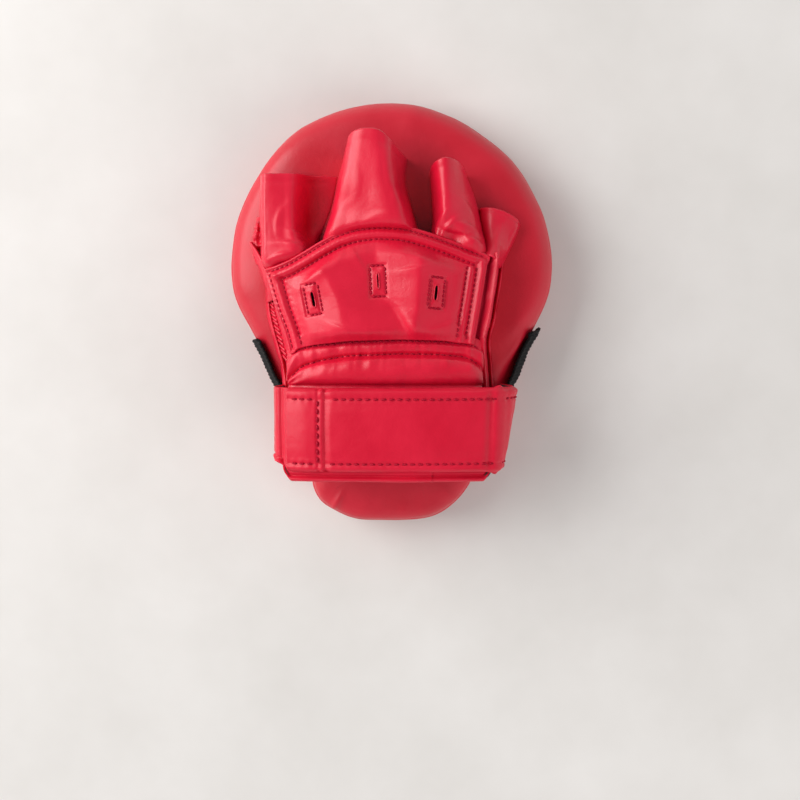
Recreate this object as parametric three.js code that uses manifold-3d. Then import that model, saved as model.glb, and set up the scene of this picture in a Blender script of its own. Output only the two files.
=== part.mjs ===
// A five-finger focus mitt: a round foam striking pad with a glove sewn to its back.
// Millimetres, +Z up. The mitt lies on its strike face, fingers towards +Y, and the
// origin is on the floor at the middle of its length and width.
import * as THREE from "three";
import { mergeVertices } from "three/addons/utils/BufferGeometryUtils.js";
import Module from "manifold-3d";

// ---- Driving dimensions ----
const LENGTH = 248; // fingertip edge to heel
const ROUND_R = 95; // the round target part
const HEEL_R = 35; // corners of the narrow heel
const HEEL_HALF_FLAT = 14; // half of the straight end between the heel's corners
const PAD_T = 44; // thickness of the striking pad
const EDGE_R = 12; // rounding of the pad's two edges
const SKIN = 1.6; // synthetic leather
const GAP = 0.3; // between touching pieces
const FRONT_SEAM_Z = 13; // seam between strike face cover and side wall
const BACK_SEAM_Z = 31; // seam between side wall and back cover
const IMPACT_FOAM_T = 14; // dense foam behind the strike face
const CORE_FOAM_T = 15; // soft foam in the middle
const HAND_FOAM_T = 3.6; // padding over the knuckles
const LINING_T = 0.8;

const ROUND_Y = LENGTH / 2 - ROUND_R; // centre of the round part
const HEEL_Y = HEEL_R - LENGTH / 2; // centre height of the heel's corners
const GLOVE_BASE_Z = PAD_T + 1.5; // where the glove's walls stand, above the palm lining

const RED = 0xc21a30;
const DEEP_RED = 0xa5142a;
const BLACK = 0x121314;
const FOAM = 0xd8d6cf;

const wasm = await Module();
wasm.setup();

const mitt = new THREE.Group();

// ---- Solids ----
function toSolid(geometry) {
  const bare = geometry.index ? geometry.toNonIndexed() : geometry.clone();
  bare.deleteAttribute("normal");
  bare.deleteAttribute("uv");
  const merged = mergeVertices(bare, 1e-4);
  return new wasm.Manifold(
    new wasm.Mesh({
      numProp: 3,
      vertProperties: merged.attributes.position.array,
      triVerts: new Uint32Array(merged.index.array),
    }),
  );
}

function toGeometry(solid) {
  const mesh = solid.getMesh();
  const geometry = new THREE.BufferGeometry();
  geometry.setAttribute("position", new THREE.BufferAttribute(mesh.vertProperties, 3));
  geometry.setIndex(new THREE.BufferAttribute(mesh.triVerts, 1));
  geometry.computeVertexNormals();
  return geometry;
}

function add(name, geometry, color, roughness = 0.42) {
  const material = new THREE.MeshStandardMaterial({ color, roughness, metalness: 0 });
  const mesh = new THREE.Mesh(geometry, material);
  mesh.name = name;
  mitt.add(mesh);
}

function box(low, high) {
  const size = high.clone().sub(low);
  const middle = low.clone().add(high).multiplyScalar(0.5);
  return new THREE.BoxGeometry(size.x, size.y, size.z).translate(middle.x, middle.y, middle.z);
}

// ---- Outline of the pad: a round top, straight flanks and a squarer heel ----
const heelDistance = Math.hypot(HEEL_HALF_FLAT, ROUND_Y - HEEL_Y);
const flankAngle =
  Math.atan2(HEEL_Y - ROUND_Y, HEEL_HALF_FLAT) + Math.acos((ROUND_R - HEEL_R) / heelDistance);

function padShape(inset) {
  const shape = new THREE.Shape();
  const round = ROUND_R - inset;
  const heel = HEEL_R - inset;
  shape.absarc(HEEL_HALF_FLAT, HEEL_Y, heel, -Math.PI / 2, flankAngle);
  shape.absarc(0, ROUND_Y, round, flankAngle, Math.PI - flankAngle);
  shape.absarc(-HEEL_HALF_FLAT, HEEL_Y, heel, Math.PI - flankAngle, 1.5 * Math.PI);
  return shape;
}

// Half of the pad's width at a given y.
function halfWidth(y) {
  const flankTop = ROUND_Y + ROUND_R * Math.sin(flankAngle);
  const flankEnd = HEEL_Y + HEEL_R * Math.sin(flankAngle);
  if (y > flankTop) return Math.sqrt(Math.max(0, ROUND_R ** 2 - (y - ROUND_Y) ** 2));
  if (y < flankEnd) return HEEL_HALF_FLAT + Math.sqrt(Math.max(0, HEEL_R ** 2 - (y - HEEL_Y) ** 2));
  return (ROUND_R - (y - ROUND_Y) * Math.sin(flankAngle)) / Math.cos(flankAngle);
}

// The whole pad, or a smaller copy of it inset on every side.
function padBody(inset) {
  const rounding = EDGE_R - inset;
  const geometry = new THREE.ExtrudeGeometry(padShape(inset), {
    depth: PAD_T - 2 * EDGE_R,
    curveSegments: 10,
    bevelEnabled: true,
    bevelThickness: rounding,
    bevelSize: rounding,
    bevelOffset: -rounding,
    bevelSegments: 3,
  });
  return toSolid(geometry.translate(0, 0, EDGE_R));
}

// The slice of a solid between two heights.
function slice(solid, low, high) {
  const reach = LENGTH;
  const cutter = box(new THREE.Vector3(-reach, -reach, low), new THREE.Vector3(reach, reach, high));
  return toGeometry(solid.intersect(toSolid(cutter)));
}

function buildPad() {
  const outside = padBody(0);
  const shell = outside.subtract(padBody(SKIN));
  const half = GAP / 2;
  add("strike_face_cover", slice(shell, -1, FRONT_SEAM_Z - half), RED);
  add("side_wall", slice(shell, FRONT_SEAM_Z + half, BACK_SEAM_Z - half), RED);
  add("back_cover", slice(shell, BACK_SEAM_Z + half, PAD_T + 1), RED);

  const filling = padBody(SKIN + GAP);
  const impactTop = SKIN + GAP + IMPACT_FOAM_T;
  const coreTop = impactTop + GAP + CORE_FOAM_T;
  add("impact_foam", slice(filling, 0, impactTop), FOAM, 0.9);
  add("core_foam", slice(filling, impactTop + GAP, coreTop), FOAM, 0.9);
  add("backing_foam", slice(filling, coreTop + GAP, PAD_T), FOAM, 0.9);
}

// ---- Bent sheets: a subdivided box laid onto a surface, from one depth to another ----
// Each depth is a number, or a function of the place on the sheet.
function sheet(across, along, surface, low, high) {
  const depthAt = (depth, u, v) => (typeof depth === "function" ? depth(u, v) : depth);
  const geometry = new THREE.BoxGeometry(1, 1, 1, across, along, 1);
  const position = geometry.attributes.position;
  const step = 1e-3;
  for (let i = 0; i < position.count; i++) {
    const u = position.getX(i) + 0.5;
    const v = position.getY(i) + 0.5;
    const depth = depthAt(position.getZ(i) < 0 ? low : high, u, v);
    const du = surface(Math.min(1, u + step), v).sub(surface(Math.max(0, u - step), v));
    const dv = surface(u, Math.min(1, v + step)).sub(surface(u, Math.max(0, v - step)));
    const normal = du.cross(dv).normalize();
    const point = surface(u, v).addScaledVector(normal, depth);
    position.setXYZ(i, point.x, point.y, point.z);
  }
  return geometry;
}

const mix = THREE.MathUtils.lerp;

function curveThrough(points, y) {
  return new THREE.CatmullRomCurve3(points.map(([x, z]) => new THREE.Vector3(x, y, z)));
}

// A patch of an arched surface between t0 and t1 across, and the y of its two ends.
function patch(arch, t0, t1, yLow, yHigh) {
  return (u, v) => {
    const t = mix(t0, t1, u);
    return arch(t, mix(yLow(t), yHigh(t), v));
  };
}

// ---- Glove over the back of the hand ----
const KNUCKLE_Z = 71; // crown of the padded back of the hand, inner layer
const ROLL_Y = -42; // where the wrist roll meets the cuff
const PANEL_Y = -19.2; // lower edge of the hand panel
const PANEL_LEFT = 0.17; // share of the arch where the panel starts
const PANEL_RIGHT = 0.85;

function gloveArch(t, y) {
  const towardsFingers = (y - ROLL_Y) / 64;
  const left = -64 - 8 * towardsFingers;
  const right = 58.5 + 3.5 * towardsFingers;
  const crown = KNUCKLE_Z - 2 * Math.max(0, (y - 20) / 30);
  const section = [
    [left, GLOVE_BASE_Z],
    [left + 2.5, 58],
    [left + 16, crown - 5],
    [(left + right) / 2, crown],
    [right - 14, crown - 5],
    [right - 2, 58],
    [right, GLOVE_BASE_Z],
  ];
  return curveThrough(section, y).getPoint(t);
}

// The arched upper edge of the hand panel, highest over the middle finger and
// falling faster towards the index finger.
const KNUCKLE_APEX = { x: -6, y: 47.6 };

function knuckleY(t) {
  const aside = gloveArch(t, 30).x - KNUCKLE_APEX.x;
  return KNUCKLE_APEX.y - (aside < 0 ? 0.0075 : 0.005) * aside ** 2;
}

const VENTS = [
  { name: "index", x: -43, y: 7, turn: 0.14 },
  { name: "middle", x: -7, y: 17, turn: 0.03 },
  { name: "ring", x: 26, y: 10, turn: -0.12 },
];
const VENT_LENGTH = 9;
const VENT_WIDTH = 2;

function ventSlots() {
  return VENTS.map(({ x, y, turn }) => {
    const slot = new THREE.BoxGeometry(VENT_WIDTH, VENT_LENGTH, 60).rotateZ(turn);
    return toSolid(slot.translate(x, y, KNUCKLE_Z));
  });
}

// How far the padding lifts the skin: nothing along the sewn edges, all of it inside.
function quilt(u, v) {
  const { smoothstep } = THREE.MathUtils;
  const rise = (s, margin) => smoothstep(Math.min(s, 1 - s), 0, margin);
  return rise(u, 0.13) * rise(v, 0.2);
}

function buildHandPanel() {
  const surface = patch(gloveArch, PANEL_LEFT, PANEL_RIGHT, () => PANEL_Y, knuckleY);
  const stuffed = patch(surface, 0.07, 0.93, () => 0.1, () => 0.9);
  const liningTop = LINING_T + GAP;
  const foamTop = (u, v) => liningTop + 0.3 + (HAND_FOAM_T - 0.5) * quilt(mix(0.07, 0.93, u), mix(0.1, 0.9, v));
  const skinLow = (u, v) => liningTop + (HAND_FOAM_T + 1) * quilt(u, v);
  const skinHigh = (u, v) => skinLow(u, v) + SKIN;
  const layers = [
    ["hand_panel_lining", sheet(14, 6, surface, 0, LINING_T), BLACK],
    ["hand_panel_foam", sheet(14, 6, stuffed, liningTop, foamTop), FOAM],
    ["hand_panel", sheet(18, 8, surface, skinLow, skinHigh), RED],
  ];
  for (const [name, geometry, color] of layers) {
    const vented = ventSlots().reduce((rest, slot) => rest.subtract(slot), toSolid(geometry));
    add(name, toGeometry(vented), color);
  }
}

function buildGussets() {
  const lower = () => PANEL_Y;
  const left = patch(gloveArch, 0, PANEL_LEFT - 0.008, lower, () => knuckleY(PANEL_LEFT));
  const right = patch(gloveArch, PANEL_RIGHT + 0.008, 1, lower, () => knuckleY(PANEL_RIGHT));
  add("side_gusset_left", sheet(4, 4, left, 0, SKIN), DEEP_RED);
  add("side_gusset_right", sheet(4, 4, right, 0, SKIN), DEEP_RED);
}

// The wrist roll is thick over the wrist and flat where its ends are sewn to the pad.
function buildWristRoll() {
  const stuffing = HAND_FOAM_T + 2;
  const full = (t) => THREE.MathUtils.smoothstep(Math.min(t, 1 - t), 0.06, 0.24);
  const round = (v) => 0.45 + 0.55 * Math.sin(Math.PI * v);
  const top = () => PANEL_Y - 2 * GAP;
  const bottom = () => ROLL_Y + GAP;
  const foam = patch(gloveArch, 0.1, 0.9, bottom, top);
  const cover = patch(gloveArch, 0, 1, bottom, top);
  const foamTop = (u, v) => 0.6 + (stuffing - 1.5) * full(mix(0.1, 0.9, u)) * round(v);
  const coverLow = (t, v) => 1.2 + stuffing * full(t) * round(v);
  const coverHigh = (t, v) => coverLow(t, v) + SKIN;
  add("wrist_roll_foam", sheet(18, 4, foam, 0, foamTop), FOAM, 0.9);
  add("wrist_roll_cover", sheet(22, 4, cover, coverLow, coverHigh), RED);
}

// ---- Finger sleeves: each grows out of the knuckle line and becomes a tunnel on the pad ----
const ROOT_RISE = LINING_T + GAP + SKIN; // level with the sewn edge of the hand panel
const KNUCKLE_SEAM = 2; // width of the seam between the panel and the sleeves
const THUMB_HOLE_END_Y = 44; // the index sleeve's outer wall starts here, past the thumb hole
const FINGERS = [
  { name: "index", t: [0, 0.366], middle: -51, half: 18.5, height: 15, tip: 77, foot: 77 },
  { name: "middle", t: [0.38, 0.583], middle: -8, half: 18, height: 36, tip: 101, foot: 86 },
  { name: "ring", t: [0.597, 0.758], middle: 31.5, half: 11, height: 27, tip: 87, foot: 79 },
  { name: "little", t: [0.772, 1], middle: 62.5, half: 11, height: 14, tip: 58, foot: 57 },
];

// A point of the glove's arch moved outwards.
function raisedArch(t, y, rise) {
  const along = gloveArch(Math.min(1, t + 1e-3), y).sub(gloveArch(Math.max(0, t - 1e-3), y));
  const outward = new THREE.Vector3(-along.z, 0, along.x).normalize();
  return gloveArch(t, y).addScaledVector(outward, rise);
}

function sleeveSurface(finger) {
  return (u, v) => {
    const t = mix(finger.t[0], finger.t[1], u);
    const thumbHole = finger.name === "index" ? THREE.MathUtils.smoothstep(0.17 - t, 0, 0.05) : 0;
    const rootY = mix(knuckleY(t) + KNUCKLE_SEAM, THUMB_HOLE_END_Y, thumbHole);
    const root = raisedArch(t, rootY, ROOT_RISE);
    const angle = Math.PI * (1 - u);
    const rise = Math.sin(angle);
    const tip = new THREE.Vector3(
      finger.middle + finger.half * Math.cos(angle),
      mix(finger.foot, finger.tip, rise),
      GLOVE_BASE_Z + finger.height * rise,
    );
    // The edges dive to the pad near the root, so a valley opens between two fingers.
    const drop = mix(1 - (1 - v) ** 3, v, rise);
    const point = root.clone().lerp(tip, v);
    point.z = mix(root.z, tip.z, drop);
    return point;
  };
}

function buildSleeves() {
  for (const finger of FINGERS) {
    add(`finger_sleeve_${finger.name}`, sheet(12, 7, sleeveSurface(finger), -SKIN, 0), RED);
  }
}

// Half funnel outside the left gusset, open towards the fingertips.
function buildThumbSleeve() {
  const surface = (u, v) => {
    const foot = new THREE.Vector3(mix(-74.2, -85, v), mix(6, 39, v), GLOVE_BASE_Z);
    const sewn = raisedArch(0.15, 7, SKIN + 2 * GAP);
    const ridge = sewn.lerp(new THREE.Vector3(-76.5, 27, 60), v);
    const bulge = new THREE.Vector3(-5 * v, 3 * v, 1).multiplyScalar(Math.sin(Math.PI * u));
    return foot.lerp(ridge, u).add(bulge);
  };
  add("thumb_sleeve", sheet(5, 5, surface, 0, SKIN), RED);
}

// ---- Cuff and wrist strap ----
const CUFF_END_Y = -95;
const STRAP_TOP_Y = ROLL_Y - 0.5;
const STRAP_END_Y = -85;
const CUFF_CROWN_Z = 78;
const SHOULDER_Z = 73.5;
const LEFT_SHOULDER_X = -55; // the flap's fold
const RIGHT_SHOULDER_X = 55; // the strap's fold
const LOOP_T = 0.9;
const HOOK_T = 0.9;
const STRAP_T = 2;

// Half-loop round the wrist, from the pad's left shoulder over the wrist to its right one.
function cuffArch(t, y) {
  const share = (y - STRAP_END_Y) / (STRAP_TOP_Y - STRAP_END_Y);
  const foot = halfWidth(y) - 4;
  const rightBulge = 62 + 8 * THREE.MathUtils.clamp(share, 0, 1);
  const section = [
    [-foot, PAD_T + 0.4],
    [-63, 51],
    [-65.5, 62],
    [LEFT_SHOULDER_X, SHOULDER_Z],
    [0, CUFF_CROWN_Z],
    [RIGHT_SHOULDER_X, SHOULDER_Z],
    [rightBulge, 63],
    [rightBulge - 2, 52],
    [foot, PAD_T + 0.4],
  ];
  return curveThrough(section, y).getPoint(t);
}

const LEFT_FOLD_T = 3 / 8;
const RIGHT_FOLD_T = 5 / 8;
const FLAP_END_T = 0.515;
const TAB_SEAM_T = 0.422; // seam between strap and tab
const TAB_END_T = 0.345;
const FOLD_GAP_T = 0.004;

function buildCuff(padEnvelope) {
  const clear = (geometry) => toGeometry(toSolid(geometry).subtract(padEnvelope));
  const cuff = (t0, t1) => patch(cuffArch, t0, t1, () => CUFF_END_Y, () => STRAP_TOP_Y - 0.5);
  const strap = (t0, t1) => patch(cuffArch, t0, t1, () => STRAP_END_Y, () => STRAP_TOP_Y - 0.5);
  const tape = (t0, t1) => patch(cuffArch, t0, t1, () => STRAP_END_Y + 3, () => STRAP_TOP_Y - 3);

  add("cuff_left_wall", clear(sheet(8, 4, cuff(0.01, LEFT_FOLD_T - FOLD_GAP_T), 0, SKIN)), RED);
  add("cuff_flap", sheet(6, 4, cuff(LEFT_FOLD_T + FOLD_GAP_T, FLAP_END_T), 0, SKIN), RED);
  add("cuff_right_panel", clear(sheet(16, 4, cuff(FLAP_END_T + 0.01, 0.99), 0, SKIN)), RED);

  const loopLow = SKIN + GAP;
  const hookLow = loopLow + LOOP_T + GAP;
  const strapLow = hookLow + HOOK_T + GAP;
  const strapHigh = strapLow + STRAP_T;
  add("loop_patch", sheet(5, 3, tape(LEFT_FOLD_T + 0.012, 0.49), loopLow, loopLow + LOOP_T), BLACK, 0.95);
  add("hook_patch", sheet(2, 3, tape(LEFT_FOLD_T + 0.012, TAB_SEAM_T - 0.006), hookLow, hookLow + HOOK_T), BLACK, 0.95);
  add("strap_tab", sheet(5, 3, strap(TAB_END_T, TAB_SEAM_T - FOLD_GAP_T / 2), strapLow, strapHigh), RED);
  add("wrist_strap", sheet(12, 3, strap(TAB_SEAM_T + FOLD_GAP_T / 2, RIGHT_FOLD_T - FOLD_GAP_T), strapLow, strapHigh), RED);
  add("strap_anchor", clear(sheet(10, 3, strap(RIGHT_FOLD_T + FOLD_GAP_T, 0.985), strapLow, strapHigh)), RED);
}

// ---- Black elastic at the pad's narrowing flanks ----
const ELASTIC_T = 3.4;

function buildElastics() {
  const strips = [
    { name: "side_elastic_left", side: -1, high: -18, low: -47 },
    { name: "side_elastic_right", side: 1, high: -11, low: -47 },
  ];
  for (const { name, side, high, low } of strips) {
    const surface = (u, v) => {
      const y = mix(low, high, v);
      const z = side > 0 ? mix(EDGE_R + 21, EDGE_R + 2, u) : mix(EDGE_R + 2, EDGE_R + 21, u);
      return new THREE.Vector3(side * halfWidth(y), y, z);
    };
    add(name, sheet(2, 5, surface, GAP + 0.1, GAP + ELASTIC_T), BLACK, 0.95);
  }
}

function buildPalmLining() {
  const surface = (u, v) => {
    const y = mix(-96, 40, v);
    const half = Math.min(52, halfWidth(y) - EDGE_R - 1);
    return new THREE.Vector3(mix(-half, half, u), y, PAD_T);
  };
  add("palm_lining", sheet(2, 6, surface, GAP, GAP + LINING_T), BLACK, 0.9);
}

buildPad();
buildPalmLining();
buildHandPanel();
buildGussets();
buildWristRoll();
buildSleeves();
buildThumbSleeve();
buildCuff(padBody(-GAP));
buildElastics();

export default mitt;
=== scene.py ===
# Focus mitt, looks for Blender. Millimetres in the shape code, metres in Blender, CAD frame:
# the mitt lies on its strike face, +Y to the fingertips, +X to the little finger's side, +Z up.
import bpy, math
import numpy as np
from mathutils import Matrix, Vector, noise


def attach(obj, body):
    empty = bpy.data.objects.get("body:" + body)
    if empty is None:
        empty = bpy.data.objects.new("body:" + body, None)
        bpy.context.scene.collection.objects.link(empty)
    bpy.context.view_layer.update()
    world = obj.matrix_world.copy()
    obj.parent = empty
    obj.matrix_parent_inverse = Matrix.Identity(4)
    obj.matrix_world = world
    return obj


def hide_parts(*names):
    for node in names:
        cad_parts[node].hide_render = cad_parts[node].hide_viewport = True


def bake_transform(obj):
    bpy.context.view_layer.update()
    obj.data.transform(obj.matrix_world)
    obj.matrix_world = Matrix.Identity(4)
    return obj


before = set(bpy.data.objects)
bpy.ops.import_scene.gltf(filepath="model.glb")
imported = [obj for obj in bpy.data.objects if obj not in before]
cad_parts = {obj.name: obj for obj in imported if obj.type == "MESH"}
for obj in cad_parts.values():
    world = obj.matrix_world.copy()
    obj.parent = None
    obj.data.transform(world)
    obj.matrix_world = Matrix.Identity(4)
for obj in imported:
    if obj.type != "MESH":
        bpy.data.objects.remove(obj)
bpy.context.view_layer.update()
MM = 0.001
bpy.context.scene.view_settings.view_transform = "Standard"


# ---------------------------------------------------------------- curves and surfaces
def lerp(a, b, t):
    return a + (b - a) * t


def smooth(x, low, high):
    t = np.clip((np.asarray(x, float) - low) / (high - low), 0, 1)
    return t * t * (3 - 2 * t)


def bell(x, width):
    return np.exp(-((np.asarray(x, float) / width) ** 2))


def pad_ends(ctrl):
    ctrl = np.asarray(ctrl, float)
    first, last = 2 * ctrl[:1] - ctrl[1:2], 2 * ctrl[-1:] - ctrl[-2:-1]
    return np.concatenate([first, ctrl, last])


def weights(t, n):
    """Index of the first of four control values, and their four Catmull-Rom weights."""
    x = np.clip(t, 0, 1) * (n - 1)
    i = np.minimum(x.astype(int), n - 2)
    f = x - i
    return i, (
        -0.5 * f + f * f - 0.5 * f**3,
        1 - 2.5 * f * f + 1.5 * f**3,
        0.5 * f + 2 * f * f - 1.5 * f**3,
        -0.5 * f * f + 0.5 * f**3,
    )


def spline(ctrl, t):
    """Smooth curve through control points (n, k), at an array of places 0..1."""
    t = np.asarray(t, float)
    c = pad_ends(ctrl)
    i, w = weights(t, len(ctrl))
    return sum(c[i + k] * w[k][..., None] for k in range(4))


def section(ctrl, t):
    """The same for control values that vary over the grid: ctrl (n, *shape), t (*shape)."""
    c = pad_ends(ctrl)
    i, w = weights(t, len(ctrl))
    return sum(np.take_along_axis(c, (i + k)[None], 0)[0] * w[k] for k in range(4))


def normals(P):
    n = np.cross(np.gradient(P, axis=0), np.gradient(P, axis=1))
    return n / np.maximum(np.linalg.norm(n, axis=-1, keepdims=True), 1e-9)


def steps(n, tight=0.35):
    """0..1 in n steps, with a close pair at each end so that edges stay crisp."""
    e = tight / n
    return np.concatenate([[0, e], np.linspace(0, 1, n + 1)[1:-1], [1 - e, 1]])


def grid(nu, nv):
    return np.meshgrid(steps(nu), steps(nv), indexing="ij")


def curve_at(table, x):
    """A smoothed table lookup."""
    x = np.asarray(x, float)
    return sum(np.interp(x + d, table[:, 0], table[:, 1]) for d in (-2.5, -1.2, 0, 1.2, 2.5)) / 5


def fbm(P, size, seed=0.0, octaves=2):
    """Smooth noise about -1..1 at each point, features about size mm."""
    flat = np.asarray(P, float).reshape(-1, 3) / size + seed
    value = [noise.fractal(Vector(p), 1.0, 2.0, octaves) for p in flat]
    return np.array(value).reshape(P.shape[:-1])


# ---------------------------------------------------------------- meshes
def mesh_object(
    name, points, faces, material, slot=None, body="mitt", replaces=(), inner=None, inner_faces=(0, 0)
):
    """A piece from points in mm, with the body it rides on and the nodes it replaces; the CAD material slot
    name only decides whether it is attached and those nodes hidden.
    """
    data = bpy.data.meshes.new(name)
    data.from_pydata((np.asarray(points) * MM).tolist(), [], faces)
    data.materials.append(material)
    if inner is not None:
        data.materials.append(inner)
        flags = np.zeros(len(faces), int)
        flags[inner_faces[0] : inner_faces[1]] = 1
        data.polygons.foreach_set("material_index", flags)
    data.polygons.foreach_set("use_smooth", np.ones(len(faces), bool))
    data.validate()
    data.update()
    obj = bpy.data.objects.new(name, data)
    bpy.context.scene.collection.objects.link(obj)
    if slot:
        if body:
            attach(obj, body)
        if replaces:
            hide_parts(*replaces)
    return obj


def quads(rows, cols, start=0, flip=False):
    i, j = np.meshgrid(np.arange(rows - 1), np.arange(cols - 1), indexing="ij")
    a = (start + i * cols + j).ravel()
    q = np.stack([a, a + cols, a + cols + 1, a + 1], 1)
    return (q[:, ::-1] if flip else q).tolist()


def shell(name, P, thickness, material, slot, body="mitt", replaces=(), inner=None, rounding=0.42):
    """A sheet of leather: outer surface P (nu, nv, 3), its thickness inwards, and turned edges."""
    nu, nv = P.shape[:2]
    n = normals(P)
    inside = P - n * thickness
    border = [(i, 0) for i in range(nu)] + [(nu - 1, j) for j in range(1, nv)]
    border += [(i, nv - 1) for i in range(nu - 2, -1, -1)] + [(0, j) for j in range(nv - 2, 0, -1)]
    bi, bj = np.array(border).T
    centre = (P[bi, bj] + inside[bi, bj]) / 2
    along = np.roll(centre, -1, 0) - np.roll(centre, 1, 0)
    out = np.cross(along, n[bi, bj])
    out /= np.maximum(np.linalg.norm(out, axis=1, keepdims=True), 1e-9)
    rim = centre + out * thickness * rounding
    points = np.concatenate([P.reshape(-1, 3), inside.reshape(-1, 3), rim])
    count, m = nu * nv, len(border)
    faces = quads(nu, nv)
    inner_start = len(faces)
    faces += quads(nu, nv, count, flip=True)
    inner_end = len(faces)
    for k in range(m):
        after = (k + 1) % m
        a, b = (int(bi[e] * nv + bj[e]) for e in (k, after))
        r, s = 2 * count + k, 2 * count + after
        faces += [[b, a, r, s], [s, r, count + a, count + b]]
    return mesh_object(name, points, faces, material, slot, body, replaces, inner, (inner_start, inner_end))


def filling(name, P, top, bottom, node_name):
    """The foam under a padded skin: the same surface, between two depths."""
    return shell(name, P - normals(P) * top, bottom - top, FOAM, "foam", replaces=[node_name], rounding=0.2)


def tube(points, radius, sides=6):
    """Points and faces of a tube along a path; radius may vary."""
    path = np.asarray(points, float)
    n = len(path)
    radius = np.broadcast_to(radius, n)
    along = np.gradient(path, axis=0)
    along /= np.linalg.norm(along, axis=1, keepdims=True)
    side = np.cross(along[0], [0.1, 0.2, 1.0])
    a = np.linspace(0, 2 * math.pi, sides, endpoint=False)
    rings = []
    for k in range(n):
        side = side - along[k] * (side @ along[k])
        side /= np.linalg.norm(side)
        other = np.cross(along[k], side)
        rings.append(path[k] + radius[k] * (np.cos(a)[:, None] * side + np.sin(a)[:, None] * other))
    faces = []
    for k in range(n - 1):
        for s in range(sides):
            a, b = k * sides + s, k * sides + (s + 1) % sides
            faces.append([a, b, b + sides, a + sides])
    faces += [list(range(sides))[::-1], [(n - 1) * sides + s for s in range(sides)]]
    return np.concatenate(rings), faces


def join_parts(parts):
    verts, faces, start = [], [], 0
    for v, f in parts:
        verts.append(v)
        faces += [[start + i for i in face] for face in f]
        start += len(v)
    return np.concatenate(verts), faces


def stitch_parts(path, up, pitch, length, radius):
    """Thread segments along a path on a surface, sinking into it at both ends."""
    path, up = np.asarray(path, float), np.asarray(up, float)
    run = np.concatenate([[0], np.cumsum(np.linalg.norm(np.diff(path, axis=0), axis=1))])
    count = max(1, int(run[-1] / pitch))
    first = (run[-1] - count * pitch) / 2 + (pitch - length) / 2
    lift = np.array([-0.9, 0.05, 0.45, 0.45, 0.05, -0.9])[:, None] * radius
    thick = radius * np.array([0.5, 0.9, 1, 1, 0.9, 0.5])
    parts = []
    for k in range(count):
        s = first + k * pitch + np.array([0, 0.12, 0.35, 0.65, 0.88, 1.0]) * length
        p = np.stack([np.interp(s, run, path[:, a]) for a in range(3)], 1)
        n = np.stack([np.interp(s, run, up[:, a]) for a in range(3)], 1)
        n /= np.linalg.norm(n, axis=1, keepdims=True)
        parts.append(tube(p + n * lift, thick))
    return parts


def stitches(name, rows, material, slot, body, pitch, length, radius):
    parts = []
    for path, up in rows:
        parts += stitch_parts(path, up, pitch, length, radius)
    return mesh_object(name, *join_parts(parts), material, slot, body)


def stitch_row(surface, s, v, ds, dv):
    """A row of stitching at places s, v of a surface, and the way up from it."""
    clip = lambda q: np.clip(q, 0, 1)
    side = surface(clip(s + ds), v) - surface(clip(s - ds), v)
    ahead = surface(s, clip(v + dv)) - surface(s, clip(v - dv))
    return surface(s, v), np.cross(side, ahead)


# ---------------------------------------------------------------- materials
class Look:
    """A procedural material in its object's own coordinates."""

    def __init__(self, name, shader_values):
        self.material = bpy.data.materials.new(name)
        self.material.use_nodes = True
        self.nodes, self.links = self.material.node_tree.nodes, self.material.node_tree.links
        self.shader = self.nodes["Principled BSDF"]
        for socket, value in shader_values.items():
            self.shader.inputs[socket].default_value = value
        self.place = self.add("ShaderNodeTexCoord").outputs["Object"]

    def add(self, kind, **values):
        made = self.nodes.new(kind)
        for key, value in values.items():
            if key in made.inputs:
                made.inputs[key].default_value = value
            else:
                setattr(made, key, value)
        return made

    def texture(self, kind, output="Fac", **values):
        made = self.add(kind, **values)
        self.links.new(self.place, made.inputs["Vector"])
        return made.outputs[output]

    def math(self, operation, *values):
        made = self.add("ShaderNodeMath", operation=operation)
        for socket, value in zip(made.inputs, values):
            if isinstance(value, float):
                socket.default_value = value
            else:
                self.links.new(value, socket)
        return made.outputs[0]

    def tint(self, amount, first, last, low=0.0, high=1.0):
        """The base colour runs from first to last as amount goes from low to high."""
        ramp = self.add("ShaderNodeValToRGB")
        for stop, position, colour in zip(ramp.color_ramp.elements, (low, high), (first, last)):
            stop.position, stop.color = position, (*colour, 1)
        self.links.new(amount, ramp.inputs["Fac"])
        self.links.new(ramp.outputs["Color"], self.shader.inputs["Base Color"])

    def bump(self, height, strength, distance, under=None, invert=False):
        """Relief on the shader, on top of any relief under it."""
        made = self.add("ShaderNodeBump", Strength=strength, Distance=distance, invert=invert)
        self.links.new(height, made.inputs["Height"])
        if under:
            self.links.new(under, made.inputs["Normal"])
        self.links.new(made.outputs["Normal"], self.shader.inputs["Normal"])
        return made.outputs["Normal"]


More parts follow.
